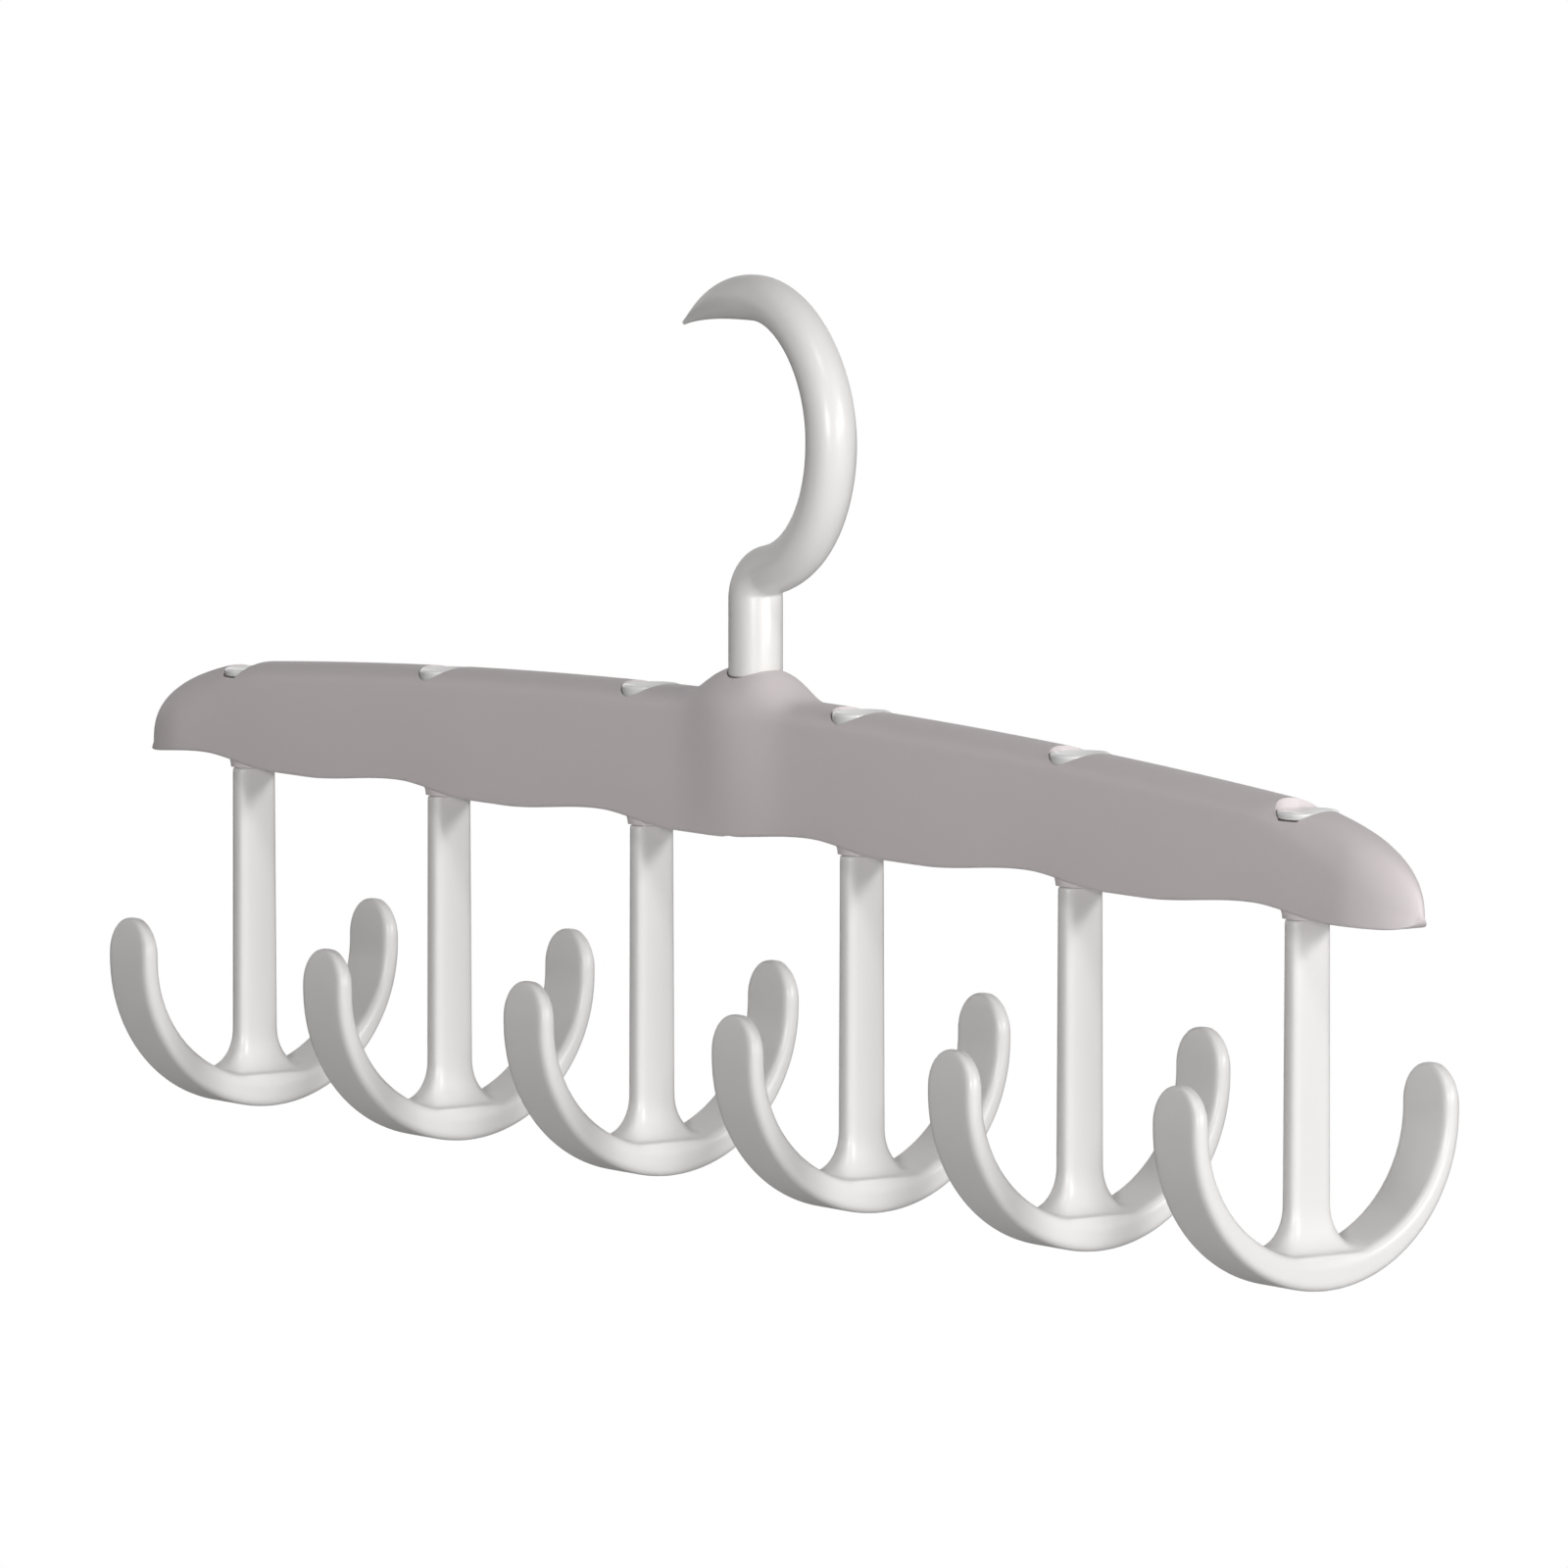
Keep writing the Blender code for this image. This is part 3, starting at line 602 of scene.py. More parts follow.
for place in EXTRA_CUTS:
    for side in (-1, 1):
        bpy.ops.mesh.select_all(action="SELECT")
        bpy.ops.mesh.bisect(plane_co=(side * place, 0, 0), plane_no=(1, 0, 0))
print("the sliced block has", len(places(bar)), "corners")

# %% [markdown]
# Each slice is now a ring of vertices at one place along X. Its crown is resized to the local height and
# moved up or down, and its two feet are moved to the lower line. The walls between them just stretch. At
# the right end the slices are also drawn in a little, which makes that nose blunter.

# %% Push every slice to its form
DIGITS = 5                  # decimals that tell two places apart
RIGHT_END_DRAW = 0.0015     # how much the right end is drawn in
END_DRAW_POWER = 4


def slices_of(piece):
    """Numbers of the vertices at each place along X."""
    rows = {}
    for number, place in enumerate(places(piece)):
        rows.setdefault(round(place.x, DIGITS), []).append(number)
    return rows


block_places = places(bar)
block_base = RIDGE_Z - BAR_HALF + EDGE_GAP      # where the round part starts on the plain block
block_round = BAR_HALF - EDGE_GAP
for x, numbers in slices_of(bar).items():
    half, crown, low = half_thickness(x), crown_height(x), lower_line(x)
    upper = [n for n in numbers if block_places[n].z > block_base - TINY]
    lower = [n for n in numbers if block_places[n].z < block_base - TINY]
    pick(bar, upper)
    resize((1, shoulder_half(x) / BAR_HALF, crown / block_round), (x, 0, block_base))
    shift((0, 0, top_line(x) - crown - block_base))
    pick(bar, lower)
    foot_share = half / BAR_HALF
    resize((1, foot_share, foot_share), (x, 0, LOWER_EDGE_Z))
    shift((0, 0, low - LOWER_EDGE_Z))
    if x > HALF_LENGTH - NOSE_LENGTH:
        pick(bar, numbers)
        shift((-RIGHT_END_DRAW * end_share(x, NOSE_LENGTH) ** END_DRAW_POWER, 0, 0))
close_piece(bar)

# %% [markdown]
# ## Collars, hollow and holes
# Below each pin the moulding ends in a short collar that flares out along the bar. Inside, the bar is
# hollow, with bosses for the pins, a socket for the main hook and thin ribs across. As in a mould, what
# is hollow is a shape of its own, the core. So the core is modelled and taken away with a Boolean
# modifier, which is applied at once.

# %% Boolean helper
def combine(target, tool, operation):
    """Add, cut or trim one closed piece with another, and remove the tool."""
    lay_down_tools()
    bpy.context.view_layer.objects.active = target
    target.select_set(True)
    step = target.modifiers.new(tool.name, "BOOLEAN")
    step.operation = operation
    step.solver = "EXACT"
    step.object = tool
    bpy.ops.object.modifier_apply(modifier=step.name)
    bpy.data.objects.remove(tool, do_unlink=True)


print("pieces can be added, cut and trimmed")

# %% [markdown]
# Most of the tools stand on an upright axis. Each is a circle that is pushed up through rings, which are
# round for a turned tool and oval for a collar.

# %% Tools on an upright axis
ROUND_SIDES = 48


def ring_tool(name, rings, x=0.0, sides=ROUND_SIDES):
    """A tool on an upright axis, pushed up through (half of X, half of Y, height) rings."""
    lay_down_tools()
    radius, _, low = rings[0]
    bpy.ops.mesh.primitive_circle_add(vertices=sides, radius=radius, fill_type="NGON", location=(x, 0, low))
    piece = open_piece(name)
    stretch_up(rings, x)
    return close_piece(piece)


def turned_tool(name, profile, x=0.0, sides=ROUND_SIDES):
    """A round tool on an upright axis, from (radius, height) pairs."""
    return ring_tool(name, [(radius, radius, height) for radius, height in profile], x, sides)


print("round tools have", ROUND_SIDES, "sides")

# %% [markdown]
# The rings of a collar follow a quarter of an ellipse, which is level where it meets the bar. So the
# collar flows into the lower edge, wider along the bar than across it.

# %% Collars
COLLAR_DROP = 0.0004
COLLAR_HEIGHT = 0.0032
COLLAR_RADIUS = 0.0045
COLLAR_FLARE = 0.0050
COLLAR_SWELL = 0.0014
COLLAR_STEPS = 8
COLLAR_END_Z = LOWER_EDGE_Z - COLLAR_DROP


def collar_rings():
    """(half of X, half of Y, height) of the trumpet, from its end up."""
    rings = []
    for step in range(COLLAR_STEPS + 1):
        share = step / COLLAR_STEPS
        wide = COLLAR_RADIUS + COLLAR_FLARE * quarter_ellipse(share)
        deep = COLLAR_RADIUS + COLLAR_SWELL * quarter_ellipse(share)
        rings.append((wide, deep, COLLAR_END_Z + COLLAR_HEIGHT * share))
    return rings


for x in PIN_PLACES:
    combine(bar, ring_tool("collar_tool", collar_rings(), x), "UNION")
print("collars on the bar:", HOOK_COUNT)

# %% [markdown]
# The core is a plain bar whose top follows the arch at the distance of the roof. It reaches below the
# walls, so that the cut is clean there.

# %% The core
WALL = 0.0021
ROOF = 0.0026
NOSE_CORE = 0.028           # solid length of each nose
OVERRUN = 0.0020
CORE_CUTS = 24
CORE_SEGMENTS = 2
core_half = BAR_HALF - WALL
core_length = 2 * (HALF_LENGTH - NOSE_CORE)
core_low = COLLAR_END_Z - OVERRUN
core_high = RIDGE_Z - ROOF

lay_down_tools()
bpy.ops.mesh.primitive_cube_add(
    size=1, location=(0, 0, (core_low + core_high) / 2),
    scale=(core_length, 2 * core_half, core_high - core_low),
)
core = open_piece("core_tool")
pick_edges(core, lambda a, b: is_long(a, b) and a.z > core_high - TINY)
bpy.ops.mesh.bevel(offset=WALL / 2, segments=CORE_SEGMENTS, affect="EDGES")
pick_edges(core, is_long)
bpy.ops.mesh.subdivide(number_cuts=CORE_CUTS)
core_places = places(core)
for x, numbers in slices_of(core).items():
    pick(core, [n for n in numbers if core_places[n].z > core_high - WALL])
    shift((0, 0, min(arch(x), top_line(x)) - RIDGE_Z))
close_piece(core)

# %% [markdown]
# What is cut out of the core stays standing in the bar: a round boss at each pin, the wall of the socket
# in the middle, and a thin rib halfway between two pins.

# %% Leave the bosses, the socket and the ribs standing
BOSS_RADIUS = 0.0068
SOCKET_RADIUS = 0.0086
RIB_THICKNESS = 0.0016
RIB_CLEARANCE = 0.0090      # from the lower edge of the bar up to a rib
core_top = RIDGE_Z + HUMP_RISE + OVERRUN
core_bottom = core_low - OVERRUN
for x in PIN_PLACES:
    boss = turned_tool("boss_tool", ((BOSS_RADIUS, core_bottom), (BOSS_RADIUS, core_top)), x)
    combine(core, boss, "DIFFERENCE")
socket_wall = turned_tool("socket_wall_tool", ((SOCKET_RADIUS, core_bottom), (SOCKET_RADIUS, core_top)))
combine(core, socket_wall, "DIFFERENCE")
for left, right in zip(PIN_PLACES, PIN_PLACES[1:]):
    x = (left + right) / 2
    if abs(x) > SOCKET_RADIUS:
        lay_down_tools()
        rib_low = LOWER_EDGE_Z + RIB_CLEARANCE
        bpy.ops.mesh.primitive_cube_add(
            size=1, location=(x, 0, (rib_low + core_top) / 2),
            scale=(RIB_THICKNESS, 2 * BAR_HALF, core_top - rib_low),
        )
        rib = open_piece("rib_tool")
        combine(core, close_piece(rib), "DIFFERENCE")
combine(bar, core, "DIFFERENCE")
print("the hollow bar has", len(bar.data.polygons), "faces")

# %% [markdown]
# The holes follow. Each pin gets a bore with a running gap, and a wider round seat on top for its cap. The
# seats follow the arch of the bar, so they lie at three different heights.

# %% Holes for the pins
PIN_RADIUS = 0.0019
RUNNING_GAP = 0.0003
SEAT_RADIUS = 0.0058
CAP_SEAT_DEPTH = 0.0030
hole_low = COLLAR_END_Z - OVERRUN
pin_bore = PIN_RADIUS + RUNNING_GAP
seat_heights = [arch(x) - CAP_SEAT_DEPTH for x in PIN_PLACES]
for x, seat_z in zip(PIN_PLACES, seat_heights):
    combine(bar, turned_tool("pin_hole_tool", (
        (pin_bore, hole_low), (pin_bore, seat_z), (SEAT_RADIUS, seat_z), (SEAT_RADIUS, core_top),
    ), x), "DIFFERENCE")
print("the seats of the caps lie at", [round(z, 4) for z in seat_heights])

# %% [markdown]
# In the middle the spindle gets its bore, with a recess above, where the shank and its washer turn, and a
# well below, where the clip turns under the socket.

# %% Hole for the spindle
WASHER_RADIUS = 0.0051
WASHER_RECESS = 0.0030
SOCKET_LENGTH = 0.0195
WELL_WALL = 0.0022
WASHER_SEAT_Z = RIDGE_Z + HUMP_RISE - WASHER_RECESS
SOCKET_END_Z = WASHER_SEAT_Z - SOCKET_LENGTH
well = SOCKET_RADIUS - WELL_WALL
spindle_bore = SPINDLE_RADIUS + RUNNING_GAP
recess = WASHER_RADIUS + RUNNING_GAP
combine(bar, turned_tool("socket_tool", (
    (well, hole_low), (well, SOCKET_END_Z), (spindle_bore, SOCKET_END_Z), (spindle_bore, WASHER_SEAT_Z),
    (recess, WASHER_SEAT_Z), (recess, core_top),
)), "DIFFERENCE")
print("the bar with its holes has", len(bar.data.polygons), "faces")

# %% [markdown]
# ## The double hooks
# A double hook is moulded in one: a flat band that curves up on both sides to two rounded tips, a stem
# that flares out into the band, and a thin pin on top that turns in the bar. On the real piece the
# flare melts into the band without a seam. It could be sculpted. Here band, stem and pin are extruded as
# three simple shapes, joined, and then given one new skin by the Remesh modifier, which a short Smooth
# modifier relaxes until it looks moulded.

# %% Main sizes of a double hook
STEM_GAP = 0.0001           # running gap under the collar
STEM_TOP_Z = COLLAR_END_Z - STEM_GAP
BEND_Z = -0.133197          # height of the middle of the bend
ARM_RADIUS = 0.03035
print("a double hook is", round(STEM_TOP_Z - BEND_Z + ARM_RADIUS, 4), "high without its pin")

# %% [markdown]
# The band has stations too: down from the rounded front tip, half a turn round the bend, and up to the
# back tip. A tip ends in a half circle, seen from its broad side, and is thinner than the band.

# %% Stations of the band
ARM_RISE = 0.0083           # from the middle of the bend up to the tips
ARM_HALF_BREADTH = 0.0069
ARM_SIDE_THICKNESS = 0.0035
ARM_TIP_THICKNESS_SHARE = 0.55
TIP_RING_SHARES = (0.015, 0.06, 0.13, 0.22, 0.33, 0.46, 0.60, 0.75, 0.90, 1.0)
BEND_STEPS = 60


def band_stations():
    """(place of the middle, turn about X, half breadth, thickness) from the front tip to the back tip."""
    tip_z = BEND_Z + ARM_RISE
    rise = []
    for share in TIP_RING_SHARES:
        breadth = ARM_HALF_BREADTH * sqrt(1 - (1 - share) ** 2)
        thin = ARM_TIP_THICKNESS_SHARE + (1 - ARM_TIP_THICKNESS_SHARE) * sqrt(share)
        rise.append((tip_z - ARM_HALF_BREADTH * share, breadth, ARM_SIDE_THICKNESS * thin))
    middle = ARM_RADIUS - ARM_SIDE_THICKNESS / 2
    stations = [(Vector((0, -middle, z)), 0.0, breadth, thick) for z, breadth, thick in rise]
    for step in range(BEND_STEPS + 1):
        turn = pi * step / BEND_STEPS
        way = Vector((0, -cos(turn), -sin(turn)))
        stations.append((Vector((0, 0, BEND_Z)) + way * middle, turn, ARM_HALF_BREADTH, ARM_SIDE_THICKNESS))
    stations += [(Vector((0, middle, z)), pi, breadth, thick) for z, breadth, thick in reversed(rise)]
    return stations


band_line = band_stations()
print("stations of the band:", len(band_line))

# %% [markdown]
# The band starts as a plane of its full section. Its corners are bevelled while it has its full size, and
# then it is narrowed to the end of the front tip and pushed from station to station.

# %% Push the band from tip to tip
ARM_EDGE_RADIUS = 0.0016
ARM_EDGE_SEGMENTS = 5
place, turn, breadth, thick = band_line[0]
lay_down_tools()
bpy.ops.mesh.primitive_plane_add(size=1, location=place)
band = open_piece("band_tool")
resize((2 * ARM_HALF_BREADTH, ARM_SIDE_THICKNESS, 1), place)
bpy.ops.mesh.bevel(offset=ARM_EDGE_RADIUS, segments=ARM_EDGE_SEGMENTS, affect="VERTICES")
bpy.ops.mesh.select_all(action="SELECT")
resize((breadth / ARM_HALF_BREADTH, thick / ARM_SIDE_THICKNESS, 1), place)
for here, there in zip(band_line, band_line[1:]):
    place, turn, breadth, thick = here
    next_place, next_turn, next_breadth, next_thick = there
    extrude(next_place - place)
    if abs(next_turn - turn) > TINY:
        swing(next_turn - turn, "X", next_place)
    if abs(next_thick - thick) > TINY * TINY:
        resize((next_breadth / breadth, next_thick / thick, 1), next_place)
print("the band has", len(places(band)), "corners")

# %% [markdown]
# The bend is thicker at the bottom than at the sides. The half of each ring that faces the stem is
# picked by its distance from the middle of the bend, and moved inwards.

# %% Thicken the bend
ARM_BOTTOM_THICKNESS = 0.0058
RING_SLACK = 0.0002         # how far a vertex may lie off the plane of its ring
band_places = places(band)
bend_middle = Vector((0, 0, BEND_Z))
inner_limit = ARM_RADIUS - ARM_SIDE_THICKNESS / 2
for step in range(1, BEND_STEPS):
    turn = pi * step / BEND_STEPS
    way = Vector((0, -cos(turn), -sin(turn)))
    across = Vector((0, sin(turn), -cos(turn)))
    ring = []
    for number, place in enumerate(band_places):
        reach = place - bend_middle
        if abs(reach.dot(across)) < RING_SLACK and 0 < reach.dot(way) < inner_limit:
            ring.append(number)
    pick(band, ring)
    shift(way * ((ARM_SIDE_THICKNESS - ARM_BOTTOM_THICKNESS) * sin(turn) ** 2))
close_piece(band)

# %% [markdown]
# The stem is pushed up from a wide foot inside the band. Its outline shrinks on an elliptic curve, which
# leaves both the band and the stem at a tangent.

# %% Rings of the stem
STEM_HALF_WIDTH = 0.0044    # across the bar
STEM_HALF_DEPTH = 0.0020    # along the bar
STEM_GROWTH = 0.0002        # how much thicker the stem is above the flare than at its top
FLARE_HEIGHT = 0.0095
FLARE_WIDTH = 0.0078
FLARE_DEPTH = 0.0044
FLARE_SINK = 0.0003         # how far the edge of the flare lies inside the band
FLARE_STEPS = 14
FOOT_SINK_SHARE = 0.3       # how deep the foot stands in the band
bend_inside = BEND_Z - ARM_RADIUS + ARM_BOTTOM_THICKNESS - FLARE_SINK
stem_wide = STEM_HALF_DEPTH + STEM_GROWTH / 2
stem_deep = STEM_HALF_WIDTH + STEM_GROWTH
stem_foot = bend_inside - ARM_BOTTOM_THICKNESS * FOOT_SINK_SHARE
stem_rings = [(stem_wide + FLARE_DEPTH, stem_deep + FLARE_WIDTH, stem_foot)]
for step in range(FLARE_STEPS + 1):
    share = step / FLARE_STEPS
    spread = quarter_ellipse(1 - share)
    height = bend_inside + FLARE_HEIGHT * share
    stem_rings.append((stem_wide + FLARE_DEPTH * spread, stem_deep + FLARE_WIDTH * spread, height))
stem_rings.append((STEM_HALF_DEPTH, STEM_HALF_WIDTH, STEM_TOP_Z))
print("rings of the stem:", len(stem_rings))

# %% [markdown]
# The section of the stem is a rectangle with round corners. It is made at full size, widened to the foot
# and then pushed up through the rings.

# %% Push the stem up
STEM_CORNER = 0.0016
STEM_CORNER_SEGMENTS = 6
lay_down_tools()
foot = Vector((0, 0, stem_rings[0][2]))
bpy.ops.mesh.primitive_plane_add(size=1, location=foot)
stem = open_piece("stem_tool")
resize((2 * stem_wide, 2 * stem_deep, 1), foot)
bpy.ops.mesh.bevel(offset=STEM_CORNER, segments=STEM_CORNER_SEGMENTS, affect="VERTICES")
bpy.ops.mesh.select_all(action="SELECT")
resize((stem_rings[0][0] / stem_wide, stem_rings[0][1] / stem_deep, 1), foot)
stretch_up(stem_rings)
close_piece(stem)

# %% [markdown]
# The foot of the flare was pushed up level, but the band curves away under it. Every ring of the flare
# is therefore split by its place across the hook and lifted by the rise of the bend there, less and less
# towards the stem, so that the flare lands on the band all round.

# %% Bend the foot of the flare
def bend_rise(y):
    """How much higher the inner face of the bend is at y across the hook than in its middle."""
    turn = asin(y / (ARM_RADIUS - ARM_BOTTOM_THICKNESS))
    thickness = ARM_SIDE_THICKNESS + (ARM_BOTTOM_THICKNESS - ARM_SIDE_THICKNESS) * cos(turn) ** 2
    return ARM_RADIUS - ARM_BOTTOM_THICKNESS - sqrt((ARM_RADIUS - thickness) ** 2 - y ** 2)


lay_down_tools()
bpy.context.view_layer.objects.active = stem
bpy.ops.object.mode_set(mode="EDIT")
stem_places = places(stem)
flare_top = bend_inside + FLARE_HEIGHT
lifts = {}
for number, place in enumerate(stem_places):
    if place.z < flare_top - TINY:
        share = 1 - max(0.0, place.z - bend_inside) / FLARE_HEIGHT
        lifts.setdefault(round(bend_rise(place.y) * share, DIGITS), []).append(number)
for lift, numbers in lifts.items():
    pick(stem, numbers)
    shift((0, 0, lift))
close_piece(stem)
print("the foot was lifted in", len(lifts), "steps")

# %% [markdown]
# The pin is turned like the tools of the bar, with a thin spigot on top for its cap. Then all three shapes
# become one piece. The Remesh modifier lays a fine net over it, and the Smooth modifier rounds off every
# inner corner.

# %% Join band, stem and pin under one skin
SKIN_VOXEL = 0.00028
SKIN_SMOOTH_FACTOR = 0.5
SKIN_SMOOTH_STEPS = 18
SPIGOT_RADIUS = 0.0013
SPIGOT_LENGTH = 0.0005
pin_top = min(seat_heights)
pin = turned_tool("pin_tool", (
    (PIN_RADIUS, STEM_TOP_Z - OVERRUN), (PIN_RADIUS, pin_top), (SPIGOT_RADIUS, pin_top),
    (SPIGOT_RADIUS, pin_top + SPIGOT_LENGTH),
))
combine(band, stem, "UNION")
combine(band, pin, "UNION")
lay_down_tools()
bpy.context.view_layer.objects.active = band
band.select_set(True)
skin = band.modifiers.new("one skin", "REMESH")
skin.mode = "VOXEL"
skin.voxel_size = SKIN_VOXEL
skin.use_smooth_shade = True
bpy.ops.object.modifier_apply(modifier=skin.name)
relax = band.modifiers.new("relax", "SMOOTH")
relax.factor = SKIN_SMOOTH_FACTOR
relax.iterations = SKIN_SMOOTH_STEPS
bpy.ops.object.modifier_apply(modifier=relax.name)
print("one double hook has", len(band.data.polygons), "faces")

# %% [markdown]
# The hook was modelled on the Z axis. It is copied to each pin, each copy with its own mesh, and because
# the arched bar is higher in the middle, the pin of each copy is drawn up to its own seat.

# %% Copy the hook to its six pins
PIN_START_Z = STEM_TOP_Z + 3 * OVERRUN      # above this height the pin is drawn up
double_hooks = []
for number, (x, seat_z) in enumerate(zip(PIN_PLACES, seat_heights), start=1):
    lay_down_tools()
    bpy.context.view_layer.objects.active = band
    band.select_set(True)
    bpy.ops.object.duplicate(linked=False)
    hook = open_piece(f"double_hook_moulding_{number}")
    shift((x, 0, 0))
    pick_where(hook, lambda place: place.z > PIN_START_Z)
    shift((0, 0, seat_z - pin_top))
    bpy.ops.mesh.select_all(action="SELECT")
    bpy.ops.object.mode_set(mode="OBJECT")
    double_hooks.append(hook)
bpy.data.objects.remove(band, do_unlink=True)
print("double hooks:", [hook.name for hook in double_hooks])

# %% [markdown]
# ## The caps
# A button closes each pin in its round seat, almost flush with the ridge of the bar. Its top is a shallow
# dish, as a moulded button sinks in while it cools. It is turned: a circle is the ceiling of the hole for
# the pin's spigot, and it is extruded down, out, up the side, over a rounded edge and in over the dish.
# The two outer caps are thinner, since the bar falls away there, so their dish is shallower.

# %% Profile of a cap
CAP_RADIUS = 0.0056
CAP_SIDES = 64
CAP_SINK = 0.0003           # how far its rim lies below the ridge beside it
CAP_DISH = 0.0014           # depth of the dish, where the cap is thick enough
CAP_WEB = 0.00025           # least plastic between the dish and the hole
CAP_EDGE = 0.0005
CAP_EDGE_STEPS = 6
CAP_BEVEL = 0.0003
PUSH_GAP = 0.0002
SEAT_GAP = 0.0003           # between the cap and the bottom of its seat
DISH_SHARES = (0.97, 0.9, 0.8, 0.7, 0.6, 0.4, 0.2)      # radii of the dish's rings


def cap_profile(low, top):
    """(radius, height) pairs from the ceiling of the hole to the top."""
    hole = SPIGOT_RADIUS + PUSH_GAP
    profile = [
        (hole, low + SPIGOT_LENGTH),
        (hole, low),
        (CAP_RADIUS - CAP_BEVEL, low),
        (CAP_RADIUS - CAP_BEVEL / 3, low + CAP_BEVEL / 3),
        (CAP_RADIUS, low + CAP_BEVEL),
    ]
    flat = CAP_RADIUS - CAP_EDGE
    shoulder = top - CAP_EDGE
    dish = min(CAP_DISH, top - low - SPIGOT_LENGTH - CAP_WEB)
    for step in range(CAP_EDGE_STEPS + 1):
        turn = pi / 2 * step / CAP_EDGE_STEPS
        profile.append((flat + CAP_EDGE * cos(turn), shoulder + CAP_EDGE * sin(turn)))
    return profile + [(flat * share, top - dish * (1 - share ** 2)) for share in DISH_SHARES]


print("rings of a cap:", len(cap_profile(0, CAP_SEAT_DEPTH)))

# %% [markdown]
# Each cap is turned in its own seat. Its rim follows the ridge, which is lower on the outer side of a seat,
# so the height is measured on both sides and the lower one counts.

# %% Turn the six caps
caps = []
for number, (x, seat_z) in enumerate(zip(PIN_PLACES, seat_heights), start=1):
    cap_top = min(top_line(x - CAP_RADIUS), top_line(x + CAP_RADIUS)) - CAP_SINK
    cap = turned_tool(f"cap_button_{number}", cap_profile(seat_z + SEAT_GAP, cap_top), x, CAP_SIDES)
    caps.append(cap)
print("caps:", len(caps))

# %% [markdown]
# ## Shading the forms
# Smooth shading hides the facets of the moulded surfaces. Where two faces meet at a real edge, such as
# the rim of a seat, they stay sharp, so each piece is shaded by angle.

# %% Shade by angle
SHARP_ANGLE = radians(35)
for piece in [hook_rod, bar] + caps:
    lay_down_tools()
    bpy.context.view_layer.objects.active = piece
    piece.select_set(True)
    bpy.ops.object.shade_smooth_by_angle(angle=SHARP_ANGLE)
for hook in double_hooks:
    hook.data.shade_smooth()
lay_down_tools()
print("shaded", 2 + len(caps) + len(double_hooks), "pieces")

# %% [markdown]
# ## Shader maths
# A finish is never one flat value: tint, gloss and surface change a little everywhere. The patterns are
# numbers that change over the surface, and Python's own signs combine them here. The class wraps a
# socket, and each sign adds one Math node.

# %% Numbers on a surface
class Reading:
    """A number that changes over a surface."""

    def __init__(self, tree, socket):
        self.tree = tree
        self.socket = socket

    def maths(self, operation, first, second):
        """Add one Math node and return what it gives."""
        step = self.tree.nodes.new("ShaderNodeMath")
        step.operation = operation
        for number, value in enumerate((first, second)):
            if isinstance(value, Reading):
                self.tree.links.new(value.socket, step.inputs[number])
            else:
                step.inputs[number].default_value = value
        return Reading(self.tree, step.outputs[0])

    def __add__(self, other):
        return self.maths("ADD", self, other)

    def __radd__(self, other):
        return self.maths("ADD", other, self)

    def __sub__(self, other):
        return self.maths("SUBTRACT", self, other)

    def __rsub__(self, other):
        return self.maths("SUBTRACT", other, self)

    def __mul__(self, other):
        return self.maths("MULTIPLY", self, other)

    def __rmul__(self, other):
        return self.maths("MULTIPLY", other, self)


print("readings can be added, subtracted and multiplied")

# %% [markdown]
# Every finish starts from Blender's standard shader. One method adds any node: first its settings, then
# the values or links of its sockets. Patterns read the place on the piece itself, so they stay on it when
# it turns.

# %% A finish
class Finish:
    """A material that is being built up from nodes."""

    def __init__(self, name):
        self.material = bpy.data.materials.new(name)
        self.material.use_nodes = True
        self.tree = self.material.node_tree
        self.shader = self.tree.nodes["Principled BSDF"]
        self.place = self.node("ShaderNodeTexCoord", {}, {}).outputs["Object"]

    def node(self, kind, settings, sockets):
        """Add a node: its settings first, then the values or links of its sockets."""
        node = self.tree.nodes.new(kind)
        for name, value in settings.items():
            setattr(node, name, value)
        for name, value in sockets.items():
            self.feed(node.inputs[name], value)
        return node

    def feed(self, socket, value):
        """Link a reading or an output to a socket, or set a plain value."""
        if isinstance(value, Reading):
            self.tree.links.new(value.socket, socket)
        elif isinstance(value, bpy.types.NodeSocket):
            self.tree.links.new(value, socket)
        else:
            socket.default_value = value

    def noise(self, scale, detail=2.0):
        """Soft random pattern, from 0 to 1, with this many features to a metre."""
        texture = self.node("ShaderNodeTexNoise", {},
                            {"Vector": self.place, "Scale": scale, "Detail": detail})
        return Reading(self.tree, texture.outputs["Fac"])

    def set_constant(self, **values):
        """Set plain values on the shader's own sockets."""
        for name, value in values.items():
            self.shader.inputs[name.replace("_", " ")].default_value = value


print("finishes read the place on each piece in metres")

# %% [markdown]
# ## Moulded plastic
# The hanger is injection moulded in a warm white plastic with a satin gloss. On such a surface the
# colour drifts a little where the melt flowed, the gloss is patchy on the scale of a fingertip, and very
# fine waves break up the edges of reflections. A flat colour would look like paper. Three noise patterns
# of different size give those three effects.

# %% Moulded plastic
PLASTIC_IOR = 1.49
DRIFT_SCALE = 22.0          # scales are in features to a metre
PATCH_SCALE = 160.0
PATCH_SPREAD = 0.08         # how much the roughness changes from patch to patch
NOISE_MEAN = 0.5
WAVES_SCALE = 420.0
GRAIN_SCALE = 2600.0
GRAIN_SHARE = 0.3
BUMP_STRENGTH = 0.5


